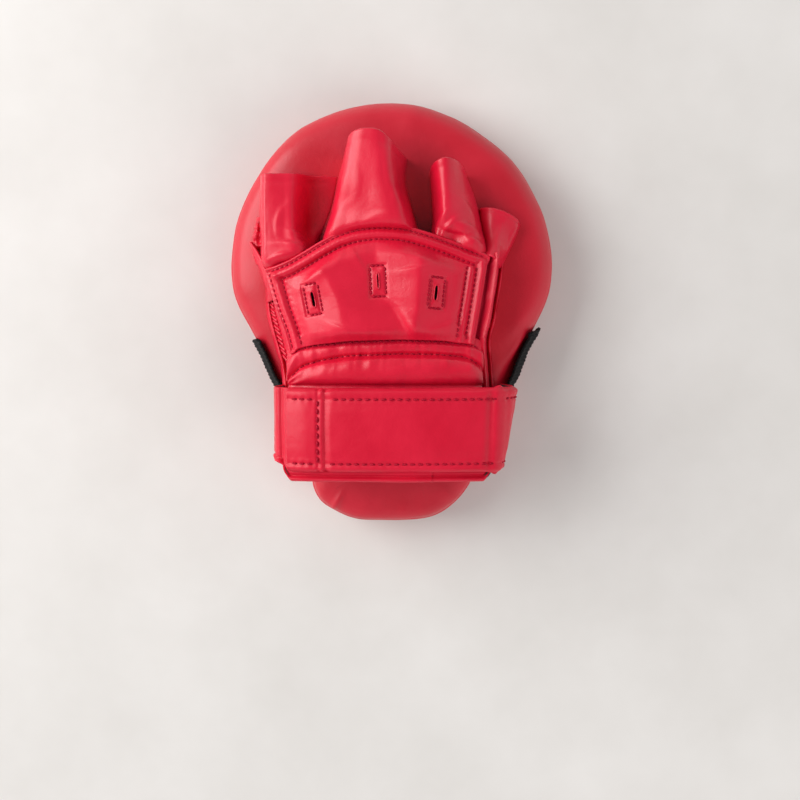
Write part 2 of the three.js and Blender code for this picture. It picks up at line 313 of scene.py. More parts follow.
def leather(name, colour, dark, roughness, gloss):
    """Smooth synthetic leather: fine pebble grain, soft unevenness, slightly patchy gloss."""
    look = Look(name, {"Specular IOR Level": gloss, "Coat Weight": 0.06, "Coat Roughness": 0.22})
    broad = look.texture("ShaderNodeTexNoise", Scale=38.0, Detail=3.0, Roughness=0.55)
    look.tint(broad, dark, colour, 0.3, 0.72)
    limits = {"From Min": 0.3, "From Max": 0.7, "To Min": roughness[0], "To Max": roughness[1]}
    patches = look.add("ShaderNodeMapRange", **limits)
    look.links.new(broad, patches.inputs["Value"])
    look.links.new(patches.outputs["Result"], look.shader.inputs["Roughness"])
    shrink = look.texture("ShaderNodeTexNoise", Scale=230.0, Detail=3.0, Roughness=0.6, Distortion=0.8)
    coarse = look.bump(shrink, 0.22, 0.0006)
    pebbles = {"Scale": 1000 / PEBBLE, "Randomness": 1.0, "feature": "DISTANCE_TO_EDGE"}
    pores = look.texture("ShaderNodeTexVoronoi", "Distance", **pebbles)
    fine = look.texture("ShaderNodeTexNoise", Scale=900.0, Detail=2.0, Roughness=0.6)
    grain = look.math("MULTIPLY_ADD", fine, 0.35, look.math("SMOOTH_MIN", pores, 0.35, 0.2))
    look.bump(grain, 0.22, 0.0003, coarse)
    return look.material


def woven(name, colour, dark, scale, ribs=("X", "Y"), sheen=0.3):
    """Fabric: crossed threads, or ribs along one axis for elastic."""
    shader = {"Roughness": 0.9, "Sheen Weight": sheen, "Sheen Roughness": 0.5, "Specular IOR Level": 0.25}
    look = Look(name, shader)
    wave = {"Scale": scale / 6.283, "Distortion": 0.6, "Detail": 1.0, "Detail Scale": 2.0}
    threads = [look.texture("ShaderNodeTexWave", bands_direction=axis, **wave) for axis in ribs]
    height = look.math("MAXIMUM", *threads) if len(threads) == 2 else threads[0]
    look.tint(height, dark, colour)
    look.bump(height, 0.6, 0.0003)
    return look.material


def pile(name, colour, dark, scale):
    """Hook or loop tape, and foam: a rough surface of tiny bumps."""
    look = Look(name, {"Roughness": 0.95, "Sheen Weight": 0.25})
    cells = look.texture("ShaderNodeTexVoronoi", "Distance", Scale=scale, Randomness=0.8)
    look.tint(cells, colour, dark)
    look.bump(cells, 0.8, 0.0006, invert=True)
    return look.material


def thread_material(name, dark, colour):
    """Twisted polyester thread."""
    look = Look(name, {"Roughness": 0.65, "Specular IOR Level": 0.2})
    twist = look.texture("ShaderNodeTexWave", Scale=420.0, Distortion=1.0, bands_direction="DIAGONAL")
    look.tint(twist, dark, colour)
    look.bump(twist, 0.5, 0.0001)
    return look.material


PEBBLE = 0.75  # size of the leather's grain, mm
RED = leather("leather_red", (0.58, 0.0085, 0.028), (0.51, 0.006, 0.021), (0.38, 0.50), 0.45)
RED_GLOVE = leather("leather_glove", (0.68, 0.0070, 0.036), (0.59, 0.0045, 0.027), (0.31, 0.43), 0.42)
RED_STRAP = leather("leather_strap", (0.64, 0.0070, 0.034), (0.56, 0.0045, 0.026), (0.36, 0.48), 0.30)
BACKING = woven("leather_backing", (0.05, 0.05, 0.052), (0.015, 0.015, 0.016), 2600.0)
LINING = woven("lining", (0.012, 0.012, 0.013), (0.004, 0.004, 0.004), 2200.0, sheen=0.04)
ELASTIC = woven("elastic", (0.007, 0.0075, 0.008), (0.0015, 0.0015, 0.002), 3300.0, ribs=("Y",), sheen=0.02)
TAPE = pile("hook_loop_tape", (0.03, 0.03, 0.032), (0.006, 0.006, 0.007), 1500.0)
FOAM = pile("foam", (0.55, 0.53, 0.48), (0.35, 0.33, 0.29), 900.0)
THREAD = thread_material("thread", (0.27, 0.0008, 0.014), (0.46, 0.0025, 0.027))
BLACK_THREAD = thread_material("thread_black", (0.006, 0.006, 0.007), (0.03, 0.03, 0.032))

# ---------------------------------------------------------------- camera
GLOVE_MID = 22.0  # the height that the camera's distance is measured from
DISTANCE = 750.0
SEEN_WIDTH = 475.2  # mm across the view at that height


def build_camera():
    """Straight down over the mitt, turned slightly to its heel."""
    camera = bpy.data.cameras.new("camera")
    camera.sensor_width = 36.0
    camera.lens = camera.sensor_width * DISTANCE / SEEN_WIDTH
    view = bpy.data.objects.new("camera", camera)
    view.location = Vector((8.6, 2.1, GLOVE_MID + DISTANCE)) * MM
    forward = (Vector((5.0, -52.4, GLOVE_MID)) * MM - view.location).normalized()
    right = forward.cross(Vector((0, 1, 0))).normalized()
    view.rotation_euler = Matrix((right, right.cross(forward), -forward)).transposed().to_euler()
    bpy.context.scene.collection.objects.link(view)
    bpy.context.scene.camera = view


# ---------------------------------------------------------------- the pad
ROUND_R, ROUND_Y = 95.0, 29.0
HEEL_R, HEEL_X, HEEL_Y = 35.0, 14.0, -89.0
# direction from each arc's centre to where the straight flank touches it
FLANK = math.atan2(HEEL_Y - ROUND_Y, HEEL_X)
FLANK += math.acos((ROUND_R - HEEL_R) / math.hypot(HEEL_X, ROUND_Y - HEEL_Y))
GLOVE_Z = 45.5


# how far the elastics and the glove draw each side of the pad in: (y, mm)
TUCK_LEFT = np.array([
    (-124, 0.0), (-118, -0.4), (-112, -2.2), (-104, -1.2), (-95, 1.5), (-80, 4.2),
    (-46, 4.6), (-35, 4.8), (-20, 3.8), (-8, 2.6), (1, 1.6), (12, 0.4),
])
TUCK_RIGHT = np.array([
    (-124, 0.3), (-118, 1.1), (-112, 1.1), (-103, 0.1), (-95, -0.2), (-80, 0.7),
    (-46, 1.6), (-30, 2.0), (-18, 2.6), (-6, 2.2), (12, 0.4),
])
# flatter stretches of the round end: (direction in degrees, mm, spread in degrees)
SHOULDERS = ((57, 3.6, 22), (25, 1.6, 18), (152, 1.6, 20), (96, 2.3, 22))


def tuck(x, y):
    """How far the pad's outline lies inside its plain shape, in mm."""
    left = np.interp(y, *TUCK_LEFT.T)
    right = np.interp(y, *TUCK_RIGHT.T)
    side = smooth(x, -25, 25)
    angle = np.degrees(np.arctan2(y - ROUND_Y, x))
    shoulder = sum(mm * bell(angle - at, spread) for at, mm, spread in SHOULDERS)
    return left * (1 - side) + right * side * smooth(np.abs(x), 5, 30) + shoulder * smooth(y, -5, 25)


def outward(edge):
    along = np.roll(edge, -1, 0) - np.roll(edge, 1, 0)
    out = np.stack([along[:, 1], -along[:, 0]], 1)
    return out / np.linalg.norm(out, axis=1, keepdims=True)


def arc(cx, cy, r, start, end, count):
    return [(cx + r * math.cos(t), cy + r * math.sin(t)) for t in np.linspace(start, end, count)]


def outline(count):
    """The pad's outline from the middle of the heel, anticlockwise, its outward normals and run."""
    raw = [(0.0, HEEL_Y - HEEL_R)]
    raw += arc(HEEL_X, HEEL_Y, HEEL_R, -math.pi / 2, FLANK, 60)
    raw += arc(0, ROUND_Y, ROUND_R, FLANK, math.pi - FLANK, 300)
    raw += arc(-HEEL_X, HEEL_Y, HEEL_R, math.pi - FLANK, 1.5 * math.pi, 60)
    raw = np.array(raw + [raw[0]])
    run = np.concatenate([[0], np.cumsum(np.linalg.norm(np.diff(raw, axis=0), axis=1))])
    s = np.linspace(0, run[-1], count, endpoint=False)
    edge = np.stack([np.interp(s, run, raw[:, a]) for a in range(2)], 1)
    edge = edge - outward(edge) * tuck(edge[:, 0], edge[:, 1])[:, None]
    level = np.concatenate([edge, np.zeros((count, 1))], 1)
    edge = edge + outward(edge) * (0.45 * fbm(level, 24.0, 90.0))[:, None]
    for _ in range(8):
        edge = (np.roll(edge, 1, 0) + 2 * edge + np.roll(edge, -1, 0)) / 4
    return edge, outward(edge), s


def half_width(y):
    top, end = ROUND_Y + ROUND_R * math.sin(FLANK), HEEL_Y + HEEL_R * math.sin(FLANK)
    y = np.asarray(y, float)
    upper = np.sqrt(np.maximum(0, ROUND_R**2 - (y - ROUND_Y) ** 2))
    lower = HEEL_X + np.sqrt(np.maximum(0, HEEL_R**2 - (y - HEEL_Y) ** 2))
    straight = (ROUND_R - (y - ROUND_Y) * math.sin(FLANK)) / math.cos(FLANK)
    return np.where(y > top, upper, np.where(y < end, lower, straight))


PAD_MIDDLE = (0.0, 8.0)
SEAMS = (31.0, 13.0)  # heights of the two seams round the edge
# (inset, height) from the back face over the edge to the strike face; seams are notches
PAD_PROFILE = [
    (34, 44.15), (27, 44.15), (22, 44.1), (18, 44.0), (15, 43.8), (12.4, 43.5), (10.2, 43.05), (8.4, 42.4),
    (6.9, 41.55), (5.7, 40.45), (4.5, 39.1), (3.3, 37.4), (2.3, 35.5), (1.6, 33.7), (1.35, 32.4), (1.5, 31.6),
    (2.4, 31.0), (1.4, 30.4), (0.95, 29.8), (0.5, 28.4), (0.1, 25.5), (-0.1, 22), (0.0, 18), (0.3, 15.6),
    (0.7, 14.2), (1.15, 13.6), (1.95, 13.0), (1.2, 12.4), (1.35, 11.6), (2.3, 9.6), (3.7, 7.3), (5.6, 5.1),
    (8, 3.2), (11, 1.7), (14.5, 0.7), (19, 0.15), (26, 0.0),
]
# creases where the skin is drawn round: x, y, direction in degrees, reach, height, width
PAD_CREASES = (
    (-33, -113, 60, 7, 2.0, 1.5), (-40, -103, 75, 9, 0.8, 2.4), (36, -109, -55, 9, 0.8, 2.6),
    (8, -118, 88, 6, 0.5, 3.0), (68, -26, 54, 18, 1.3, 1.5), (-68, -38, -60, 10, 0.7, 2.6),
    (74, -4, 48, 12, 0.6, 4.0), (-12, 118, 80, 8, 0.5, 5.0), (12, 112, 65, 12, 0.4, 6.0),
)
# (inset, height) of the foam layers under the cover
PAD_LAYERS = {
    "backing_foam": [(40, 42.2), (20, 42.0), (15, 41.0), (11, 39.5), (8, 37.2), (6, 34.5), (5, 32.0)],
    "core_foam": [(5, 31.0), (3.2, 29), (2.6, 24), (2.6, 19), (3.2, 15), (4.5, 13.4)],
    "impact_foam": [(5, 12.6), (6, 9.5), (8, 6.5), (12, 3.8), (17, 2.2), (30, 1.8)],
}


def line_frame(fx, fy, turn, x, y):
    """Distances from a place, along and across a direction in degrees."""
    c, q = math.cos(math.radians(turn)), math.sin(math.radians(turn))
    dx, dy = x - fx, y - fy
    return dx * c + dy * q, -dx * q + dy * c


def level_ring(flat, z):
    return np.concatenate([flat, np.broadcast_to(z, (len(flat),))[:, None]], 1)


def closed_stack(stack, high, low):
    """Points and faces of rings one under the other, closed over the pad's middle at two heights."""
    rows, cols = stack.shape[:2]
    faces = []
    for r in range(rows - 1):
        for c in range(cols):
            d = (c + 1) % cols
            faces.append([r * cols + c, (r + 1) * cols + c, (r + 1) * cols + d, r * cols + d])
    for c in range(cols):
        d = (c + 1) % cols
        faces.append([rows * cols, c, d])
        faces.append([rows * cols + 1, (rows - 1) * cols + d, (rows - 1) * cols + c])
    return np.concatenate([stack.reshape(-1, 3), [[*PAD_MIDDLE, high], [*PAD_MIDDLE, low]]]), faces


def crease_rings(rings, out, insets, heights):
    """The creases of the pad's rounding, and the roll-off beside the one on the right flank."""
    x, y = rings[..., 0], rings[..., 1]
    upper = smooth(heights, 30, 36)
    for fx, fy, turn, reach, high, wide in PAD_CREASES:
        a, b = line_frame(fx, fy, turn, x, y)
        ridge = bell(a, reach) * bell(b, wide)
        rings[..., 2] += high * ridge * upper * smooth(insets, 1, 5)
        rings[..., :2] += out * (0.5 * high * ridge * upper)[..., None]
    beyond = -line_frame(68, -26, 54, x, y)[1]
    roll_off = smooth(beyond, -0.8, 5.0) * smooth(-y, 4, 16) * smooth(y, -66, -52) * (x > 0)
    rings[..., 2] -= 1.7 * roll_off * upper


def pad_rings(edge, out, run, flank, heel):
    """The cover's rounding and edge, ring by ring down from the back face."""
    lean = 2.4 * smooth(-edge[:, 0], 62, 90)
    rings = []
    for inset, z in PAD_PROFILE:
        upper = smooth(z, 24, 33)
        wide = 1 + 0.9 * flank * upper * smooth(inset, 3, 8)
        sag = upper * (1.6 * flank + 1.5 * heel + lean) * smooth(inset, 26, 6)
        rings.append(level_ring(edge - out * (inset * wide)[:, None], z - sag))
    rings = np.array(rings)
    insets, heights = (np.array(column)[:, None] for column in zip(*PAD_PROFILE))
    # the skin's unevenness: soft waves on the rounding, small puckers at the two seams
    soft = fbm(rings, 30.0, 3.1)
    small = fbm(rings * [1, 1, 0.35], 7.5, 8.7)
    seam = sum(bell(heights - z, 3.0) for z in SEAMS)
    notch = sum(bell(heights - z, 0.35) for z in SEAMS)
    face = smooth(heights, 1.0, 6.0)
    push = face * (0.35 * soft * smooth(insets, 30, 14) + 0.30 * small * seam * (1 - notch))
    rings[..., :2] += out * push[..., None]
    back = smooth(insets, 1, 8) * smooth(heights, 30, 40) * smooth(insets, 40, 24)
    rings[..., 2] += 0.25 * soft * back
    # wrinkles fanning over the heel's edge, drawn by the seam
    along = run[None] + 0 * insets
    fan = np.sin(along / 5.3 + 2.2 * np.sin(along / 19)) * fbm(rings, 22.0, 5.5)
    rings[..., 2] -= 0.8 * np.abs(fan) * heel * smooth(insets, 18, 8) * smooth(heights, 24, 34)
    crease_rings(rings, out, insets, heights)
    return rings


def build_pad():
    edge, out, run = outline(420)
    flank = smooth(-edge[:, 1], 8, 45)  # softer edges where the pad narrows
    heel = smooth(-edge[:, 1], 78, 112)
    rings = pad_rings(edge, out, run, flank, heel)
    # flat rings lead from both faces' rims to the middle
    middle = np.array([*PAD_MIDDLE, 0.0])
    shares = np.linspace(1, 0, 16)[1:-1]
    top = np.array([middle + (rings[0] - middle) * s for s in shares])
    bottom = np.array([middle + (rings[-1] - middle) * s for s in shares])
    top[..., 2] = 44.1 - 0.25 * smooth(1 - shares, 0, 0.3)[:, None]
    bottom[..., 2] = 0.0
    stack = np.concatenate([top[::-1], rings, bottom])
    cover = ("strike_face_cover", "side_wall", "back_cover")
    pad = mesh_object("pad_cover", *closed_stack(stack, 43.85, 0), RED, "red_leather", replaces=cover)
    for name, layer in PAD_LAYERS.items():
        wide = [i * (1 + 0.5 * flank * (z > 31)) for i, z in layer]
        stack = np.array([level_ring(edge - out * w[:, None], float(z)) for w, (i, z) in zip(wide, layer)])
        if name == "backing_foam":
            stack[..., 2] -= (1.6 * flank + 1.5 * heel + 2.4 * smooth(-edge[:, 0], 62, 90)) * 0.8
        block = closed_stack(stack, layer[0][1], layer[-1][1])
        mesh_object(f"pad_{name}", *block, FOAM, "foam", replaces=[name])
    # a row of stitching just inside the strike face's edge
    path, up = level_ring(edge - out * 8.6, 2.75), level_ring(out * 0.5, -1.0)
    row = [np.concatenate([line, line[:1]]) for line in (path, up)]
    stitches("pad_edge_stitches", [row], THREAD, "red_leather", "mitt", 4.2, 3.0, 0.32)


# ---------------------------------------------------------------- the glove's arch
KNUCKLES = [
    (-70, 22.6), (-66, 23.8), (-62, 25.4), (-56, 27.9), (-46, 33.6), (-38, 38.5), (-29.5, 43.0), (-20, 46),
    (-8, 47.6), (5, 47), (13, 45.4), (22, 42.8), (32, 39.4), (42, 35.6), (54, 30.6), (62, 27.0),
]


def knuckle_y(x):
    return curve_at(np.array(KNUCKLES), x)


def over_arch(xs, zs, t, y, depth):
    """Points on a smooth arch through (xs, zs) at share t and place y, moved outwards by depth."""
    xs, zs = (np.array([value + 0.0 * y for value in values]) for values in (xs, zs))
    at = lambda q: np.stack([section(xs, q), y, section(zs, q)], -1)
    span = at(np.clip(t + 1e-3, 0, 1)) - at(np.clip(t - 1e-3, 0, 1))
    up = np.stack([-span[..., 2], 0 * t, span[..., 0]], -1)
    up /= np.linalg.norm(up, axis=-1, keepdims=True)
    return at(t) + up * depth[..., None]


def arch(t, y, depth=0.0):
    """Point on the glove's arch at share t from the index side, moved outwards by depth."""
    t, y, depth = np.broadcast_arrays(np.asarray(t, float), np.asarray(y, float), np.asarray(depth, float))
    share = (y + 42) / 64
    left, right = -64 - 8 * share, 58.5 + 3.5 * share
    crown = 71 - 2 * np.maximum(0, (y - 20) / 30)
    xs = [left, left + 2.5, left + 16, (left + right) / 2, right - 14, right - 2, right]
    zs = [GLOVE_Z, 58, crown - 5, crown, crown - 5, 58, GLOVE_Z]
    return over_arch(xs, zs, t, y, depth)


def share_at(x, y):
    """The arch's share t where it passes over (x, y)."""
    x, y = np.broadcast_arrays(np.asarray(x, float), np.asarray(y, float))
    low, high = np.zeros(x.shape), np.ones(x.shape)
    for _ in range(16):
        mid = (low + high) / 2
        right_of = arch(mid, y)[..., 0] > x
        low, high = np.where(right_of, low, mid), np.where(right_of, mid, high)
    return (low + high) / 2


EDGE = 2.7  # the panel's sewn edge, above the arch
# the panel's two side edges and the seam below it, as (place, place) in plan
LEFT_EDGE = np.array([(-30, -53.5), (-20, -55.6), (-10, -58.2), (1.8, -62.6), (21.6, -68.0), (30, -70)])
RIGHT_EDGE = np.array([(-30, 44), (-15, 46.2), (-2, 48.3), (12, 50.6), (28, 53.0), (33, 55)])
ROLL_SEAM = np.array([
    (-62, -30), (-57.4, -25.6), (-53.5, -21.8), (-49.6, -19.8), (-42.8, -18.7), (-22.7, -16.4),
    (5.2, -15.5), (28, -16.2), (43.8, -17.8), (49, -19.6), (53.3, -22.8), (58, -27),
])
ROLL_ROW = np.array([
    (-60, -42), (-55.7, -37.3), (-52, -32.5), (-47.9, -29.5), (-37.8, -26.7), (-22.7, -24.2),
    (5.2, -23.1), (25, -23.4), (40.5, -24.8), (46.5, -27.5), (51.1, -32), (55, -38),
])


def panel_place(s, v):
    """Plan x, y of a place on the hand panel, s across and v towards the knuckles."""
    x = lerp(-60.0, 50.0, s)
    for _ in range(3):
        y = lerp(curve_at(ROLL_SEAM, x) + 0.5, knuckle_y(x), v)
        x = lerp(curve_at(LEFT_EDGE, y), curve_at(RIGHT_EDGE, y), s)
    return x, y


def kinks(x, at, slopes, soft):
    """A line that changes slope at each kink, rounded over about soft mm."""
    total = 0 * x
    for place, slope in zip(at, slopes):
        d = x - place
        total = total + slope * (np.sqrt(d * d + soft * soft) + d) / 2
    return total


# vents: x, y, turn, half width of the slit
VENTS = [(-42.5, 7.0, 0.19, 1.0), (-6.8, 17.0, 0.05, 0.55), (25.0, 10.5, -0.10, 0.9)]
VENT_W, VENT_L = 8.2, 17.0


def vent_frame(x, y):
    """For each vent: how far outside its stitched rectangle a place is, negative inside."""
    result = []
    for cx, cy, turn, _ in VENTS:
        dx, dy = x - cx, y - cy
        a = dx * math.cos(turn) + dy * math.sin(turn)
        b = -dx * math.sin(turn) + dy * math.cos(turn)
        result.append((a, b, np.maximum(np.abs(a) - VENT_W / 2, np.abs(b) - VENT_L / 2)))
    return result


SLANT = 1.06  # distance square to the panel's slanting side edges, per mm of x


def panel_rows(s, v):
    """Place in plan, and distances in mm to the panel's lower, upper, left and right edges."""
    x, y = panel_place(s, v)
    slope = knuckle_y(x + 0.5) - knuckle_y(x - 0.5)
    high = (knuckle_y(x) - y) / np.sqrt(1 + slope**2)
    left = (x - curve_at(LEFT_EDGE, y)) * SLANT
    right = (curve_at(RIGHT_EDGE, y) - x) * SLANT
    return x, y, y - curve_at(ROLL_SEAM, x) - 0.5, high, left, right


# the leather's facets, as lines (y, x): two ridges, and between them a hollow that runs down to the
# second ridge's foot
RIDGE_1 = np.array([(-14, -22.5), (8.5, -28.5), (24.7, -37.5), (40, -41)])
HOLLOW = np.array([(-14, 8.5), (-4, 6.0), (3, 1.0), (8, -4.5), (12, -6.5), (40, -9)])
RIDGE_2 = np.array([(-14, 13.0), (10, 13.8), (30, 16.5), (45, 18)])
# crisp folds: x, y, turn, reach, height, width on the near and the far side
PANEL_FOLDS = (
    (9.5, -6.0, 0.55, 9, 2.1, 2.2, 4.0), (-2.0, 6.5, 1.1, 6, 0.8, 3.6, 1.1),
    (-41.0, 20.5, 2.35, 8, 1.2, 4.1, 1.3), (-27.0, -8.0, 1.2, 8, 0.7, 3.2, 1.0),
    (33.0, -6.0, 1.9, 9, 0.7, 3.6, 1.1), (12.0, 24.0, 1.75, 9, 0.8, 3.1, 0.9),
    (-18.0, 30.0, 0.5, 8, 0.6, 3.6, 1.1),
)
UPPER_ROWS, LEFT_ROWS, RIGHT_ROWS = (1.5, 7.4), (1.6, 7.6), (5.4, 11.2)  # stitching, mm in from each edge


def facets(x, y, flat):
    """Heights of the panel's flat facets."""
    wander = 1.3 * fbm(flat, 16.0, 17.0)
    ridge1 = np.interp(y, *RIDGE_1.T) + wander
    hollow = np.interp(y, *HOLLOW.T) - 0.5 * wander
    ridge2 = np.interp(y, *RIDGE_2.T) + 0.4 * wander
    low_end = smooth(-y, -8, 12)
    nodes = [
        (-60.0 + 0 * x, -1.6), (ridge1, 3.9), (hollow, 0.1 + 0.7 * low_end), (ridge2, 4.2 - 1.2 * low_end),
        (34.0 + 0 * x, 0.3), (54.0 + 0 * x, -1.2),
    ]
    slope = [(nodes[i + 1][1] - nodes[i][1]) / (nodes[i + 1][0] - nodes[i][0]) for i in range(5)]
    turns = [slope[i + 1] - slope[i] for i in range(4)]
    return nodes[0][1] + slope[0] * (x + 60) + kinks(x, [n[0] for n in nodes[1:5]], turns, 1.5)


def panel_surface(s, v):
    s, v = np.broadcast_arrays(np.asarray(s, float), np.asarray(v, float))
    x, y, low, high, left, right = panel_rows(s, v)
    flat = np.stack([x, y, 0 * x], -1)
    sides = np.minimum(left, right)
    rim = np.minimum(high, sides)
    inside = np.minimum(np.minimum(low, high), sides)
    depth = 0.9 * smooth(rim, 0.2, 2.2) + 2.3 * smooth(rim, 6.5, 17) * smooth(low, -2, 7)
    # a raised band runs inside the upper and side edges, between two rows of stitching
    depth += 0.9 * bell(high - 4.4, 2.0) * smooth(sides, 2, 4)
    depth += 0.8 * bell(left - 5.0, 1.7) * smooth(high, 2.5, 5)
    depth += 0.7 * bell(right - 8.3, 1.3) * smooth(high, 6, 9)
    depth += 0.9 * bell(right - 2.2, 1.2) * smooth(high, 1, 3)
    fade = smooth(high, 7.0, 15) * smooth(low, -2, 5) * smooth(left, 7, 15) * smooth(right, 8, 16)
    depth += 1.6 * facets(x, y, flat) * fade
    for fx, fy, turn, reach, height, near_side, far_side in PANEL_FOLDS:
        b, a = line_frame(fx, fy, math.degrees(turn), x, y)
        fall = np.where(b > 0, bell(b, far_side), bell(b, near_side))
        depth += height * fall * bell(a, reach) * smooth(inside, 2, 8)
    # rows of stitching sink into the padding, a little deeper where the needle goes in
    for distance, run, places in ((high, x * 1.12, UPPER_ROWS), (left, y, LEFT_ROWS), (right, y, RIGHT_ROWS)):
        for place in places:
            near = distance - place
            needle = 0.12 * np.cos(2 * math.pi * run / 3.0) * bell(near, 2.4)
            depth -= smooth(inside, place - 2.2, place - 0.5) * (1.25 * bell(near, 1.25) + needle)
    # puckers where the seams gather the panel
    gather = fbm(np.stack([x, 0.22 * y, 0 * x], -1), 6.0, 2.3)
    depth += 0.55 * gather * bell(low, 5.5) + 0.25 * gather * bell(high - 11, 4.5)
    gather = fbm(np.stack([0.22 * x, y, 0 * x], -1), 5.5, 6.3)
    depth += 0.30 * gather * (bell(left - 10, 4) + bell(right - 12, 3.5))
    for a, b, outside in vent_frame(x, y):
        slit = np.maximum(np.abs(a) - 0.5, 0) ** 2 + np.maximum(np.abs(b) - 4.2, 0) ** 2
        depth -= 0.85 * bell(outside, 0.8)
        depth += 0.6 * np.exp(-slit / 3.0) * smooth(-outside, 0.4, 2)
    depth += 0.5 * fbm(flat, 24.0, 11.0, 1) * smooth(inside, 3, 14)
    return arch(share_at(x, y), y, EDGE + depth)


def vent_place(vent, p, q):
    """Plan x, y of a place p across and q along a vent's slit."""
    cx, cy, turn, _ = vent
    return cx + p * math.cos(turn) - q * math.sin(turn), cy + p * math.sin(turn) + q * math.cos(turn)


def cut_vents(layers):
    """Cut the vents' slits right through the panel's layers."""
    cutters = []
    for k, vent in enumerate(VENTS):
        low = []
        for a in np.linspace(0, 2 * math.pi, 20, endpoint=False):
            end = 3.3 if math.sin(a) > 0 else -3.3
            low.append((*vent_place(vent, vent[3] * math.cos(a), end + math.sin(a)), 55.0))
        high = [(x, y, 95.0) for x, y, _ in low]
        n = len(low)
        faces = [list(range(n))[::-1], list(range(n, 2 * n))]
        faces += [[i, (i + 1) % n, n + (i + 1) % n, n + i] for i in range(n)]
        cutters.append(mesh_object(f"cutter{k}", low + high, faces, RED_GLOVE))
    for layer in layers:
        for k, cutter in enumerate(cutters):
            cut = layer.modifiers.new(f"cut{k}", "BOOLEAN")
            cut.operation, cut.solver, cut.object = "DIFFERENCE", "EXACT", cutter
        bake(layer)
    for cutter in cutters:
        bpy.data.objects.remove(cutter)


def on_surface(P, x, y):
    """Points of a surface over places in plan, and the way up from each."""
    flat, up = P.reshape(-1, 3), normals(P).reshape(-1, 3)
    points, ups = [], []
    for a, b in zip(x, y):
        away = (flat[:, 0] - a) ** 2 + (flat[:, 1] - b) ** 2
        near = np.argsort(away)[:4]
        points.append((a, b, np.average(flat[near, 2], weights=1 / (0.05 + away[near]))))
        ups.append(up[near].mean(0))
    return np.array(points), np.array(ups)


def finish_vents(P):
    """A turned lip round each slit and a stitched rectangle round each vent."""
    lips, rows = [], []
    around = np.linspace(0, 2 * math.pi, 40)
    k = np.linspace(0.03, 0.97, 24)
    w, l = VENT_W / 2, VENT_L / 2
    corners = [(-w, -l), (w, -l), (w, l), (-w, l), (-w, -l)]
    for vent in VENTS:
        p = (vent[3] + 0.15) * np.cos(around)
        q = 3.3 * np.sign(np.sin(around)) * np.abs(np.sin(around)) ** 0.25 + 1.15 * np.sin(around)
        path, up = on_surface(P, *vent_place(vent, p, q))
        lips.append(tube(path + 0.12 * up, 0.42))
        for (p0, q0), (p1, q1) in zip(corners, corners[1:]):
            rows.append(on_surface(P, *vent_place(vent, lerp(p0, p1, k), lerp(q0, q1, k))))
    mesh_object("vent_lips", *join_parts(lips), RED_GLOVE, "red_leather_glove")
    stitches("vent_stitches", rows, THREAD, "red_leather_glove", "mitt", 2.5, 1.75, 0.62)


def trace(pick):
    """Places s, v on the panel whose distances to its edges are as picked."""
    q = np.linspace(0, 1, 400)
    s, v = pick(q, q)
    for _ in range(12):
        x, _, _, high, left, right = panel_rows(s, v)
        span_s = (left + right) / SLANT
        span_v = knuckle_y(x) - curve_at(ROLL_SEAM, x) - 0.5
        s, v = pick(s, v, high, left, right, span_s, span_v, q)
        s, v = np.clip(s, 0.003, 0.997), np.clip(v, 0.003, 0.997)
    return s, v


def upper_row(inset, from_left, from_right):
    def pick(s, v, *known):
        if not known:
            return lerp(0.03, 0.97, s), np.full_like(v, 0.9)
        high, left, right, span_s, span_v, q = known
        return lerp(from_left / span_s, 1 - from_right / span_s, q), v + (high - inset) / span_v
    return pick


def side_row(inset, edge, below):
    def pick(s, v, *known):
        if not known:
            return np.full_like(s, 0.05 if edge < 0 else 0.95), v
        high, left, right, span_s, span_v, q = known
        s = s + ((inset - left) if edge < 0 else (right - inset)) / span_s
        return s, lerp(0.02, 1 - below / span_v, q)
    return pick


def inner_grid(s_range, v_range):
    return np.meshgrid(np.linspace(*s_range, 60), np.linspace(*v_range, 40), indexing="ij")


def build_panel():
    P = panel_surface(*grid(190, 120))
    glove = "red_leather_glove"
    panel = shell("hand_panel_skin", P, 1.5, RED_GLOVE, glove, replaces=["hand_panel"], inner=BACKING)
    padding = panel_surface(*inner_grid((0.12, 0.88), (0.10, 0.80)))
    foam = filling("hand_panel_filling", padding, 2.4, 4.4, "hand_panel_foam")
    lined = panel_surface(*inner_grid((0.02, 0.98), (0.02, 0.98)))
    lined = lined - normals(lined) * 4.7
    lining = shell("hand_lining", lined, 0.8, LINING, "black_lining", replaces=["hand_panel_lining"])
    cut_vents((panel, foam, lining))
    picks = [
        upper_row(UPPER_ROWS[0], 1.7, 1.6), upper_row(UPPER_ROWS[1], 7.6, 6.0),
        side_row(LEFT_ROWS[0], -1, 1.5), side_row(LEFT_ROWS[1], -1, 8.5),
        side_row(RIGHT_ROWS[0], 1, 8.0), side_row(RIGHT_ROWS[1], 1, 9.0),
    ]
    rows = [stitch_row(panel_surface, *trace(pick), 0.004, 0.006) for pick in picks]
    stitches("hand_panel_stitches", rows, THREAD, glove, "mitt", 3.0, 2.1, 0.50)
    finish_vents(P)


def bake(obj):
    """Apply every modifier."""
    bpy.context.view_layer.update()
    dep = bpy.context.evaluated_depsgraph_get()
    data = bpy.data.meshes.new_from_object(obj.evaluated_get(dep))
    obj.modifiers.clear()
    obj.data = data


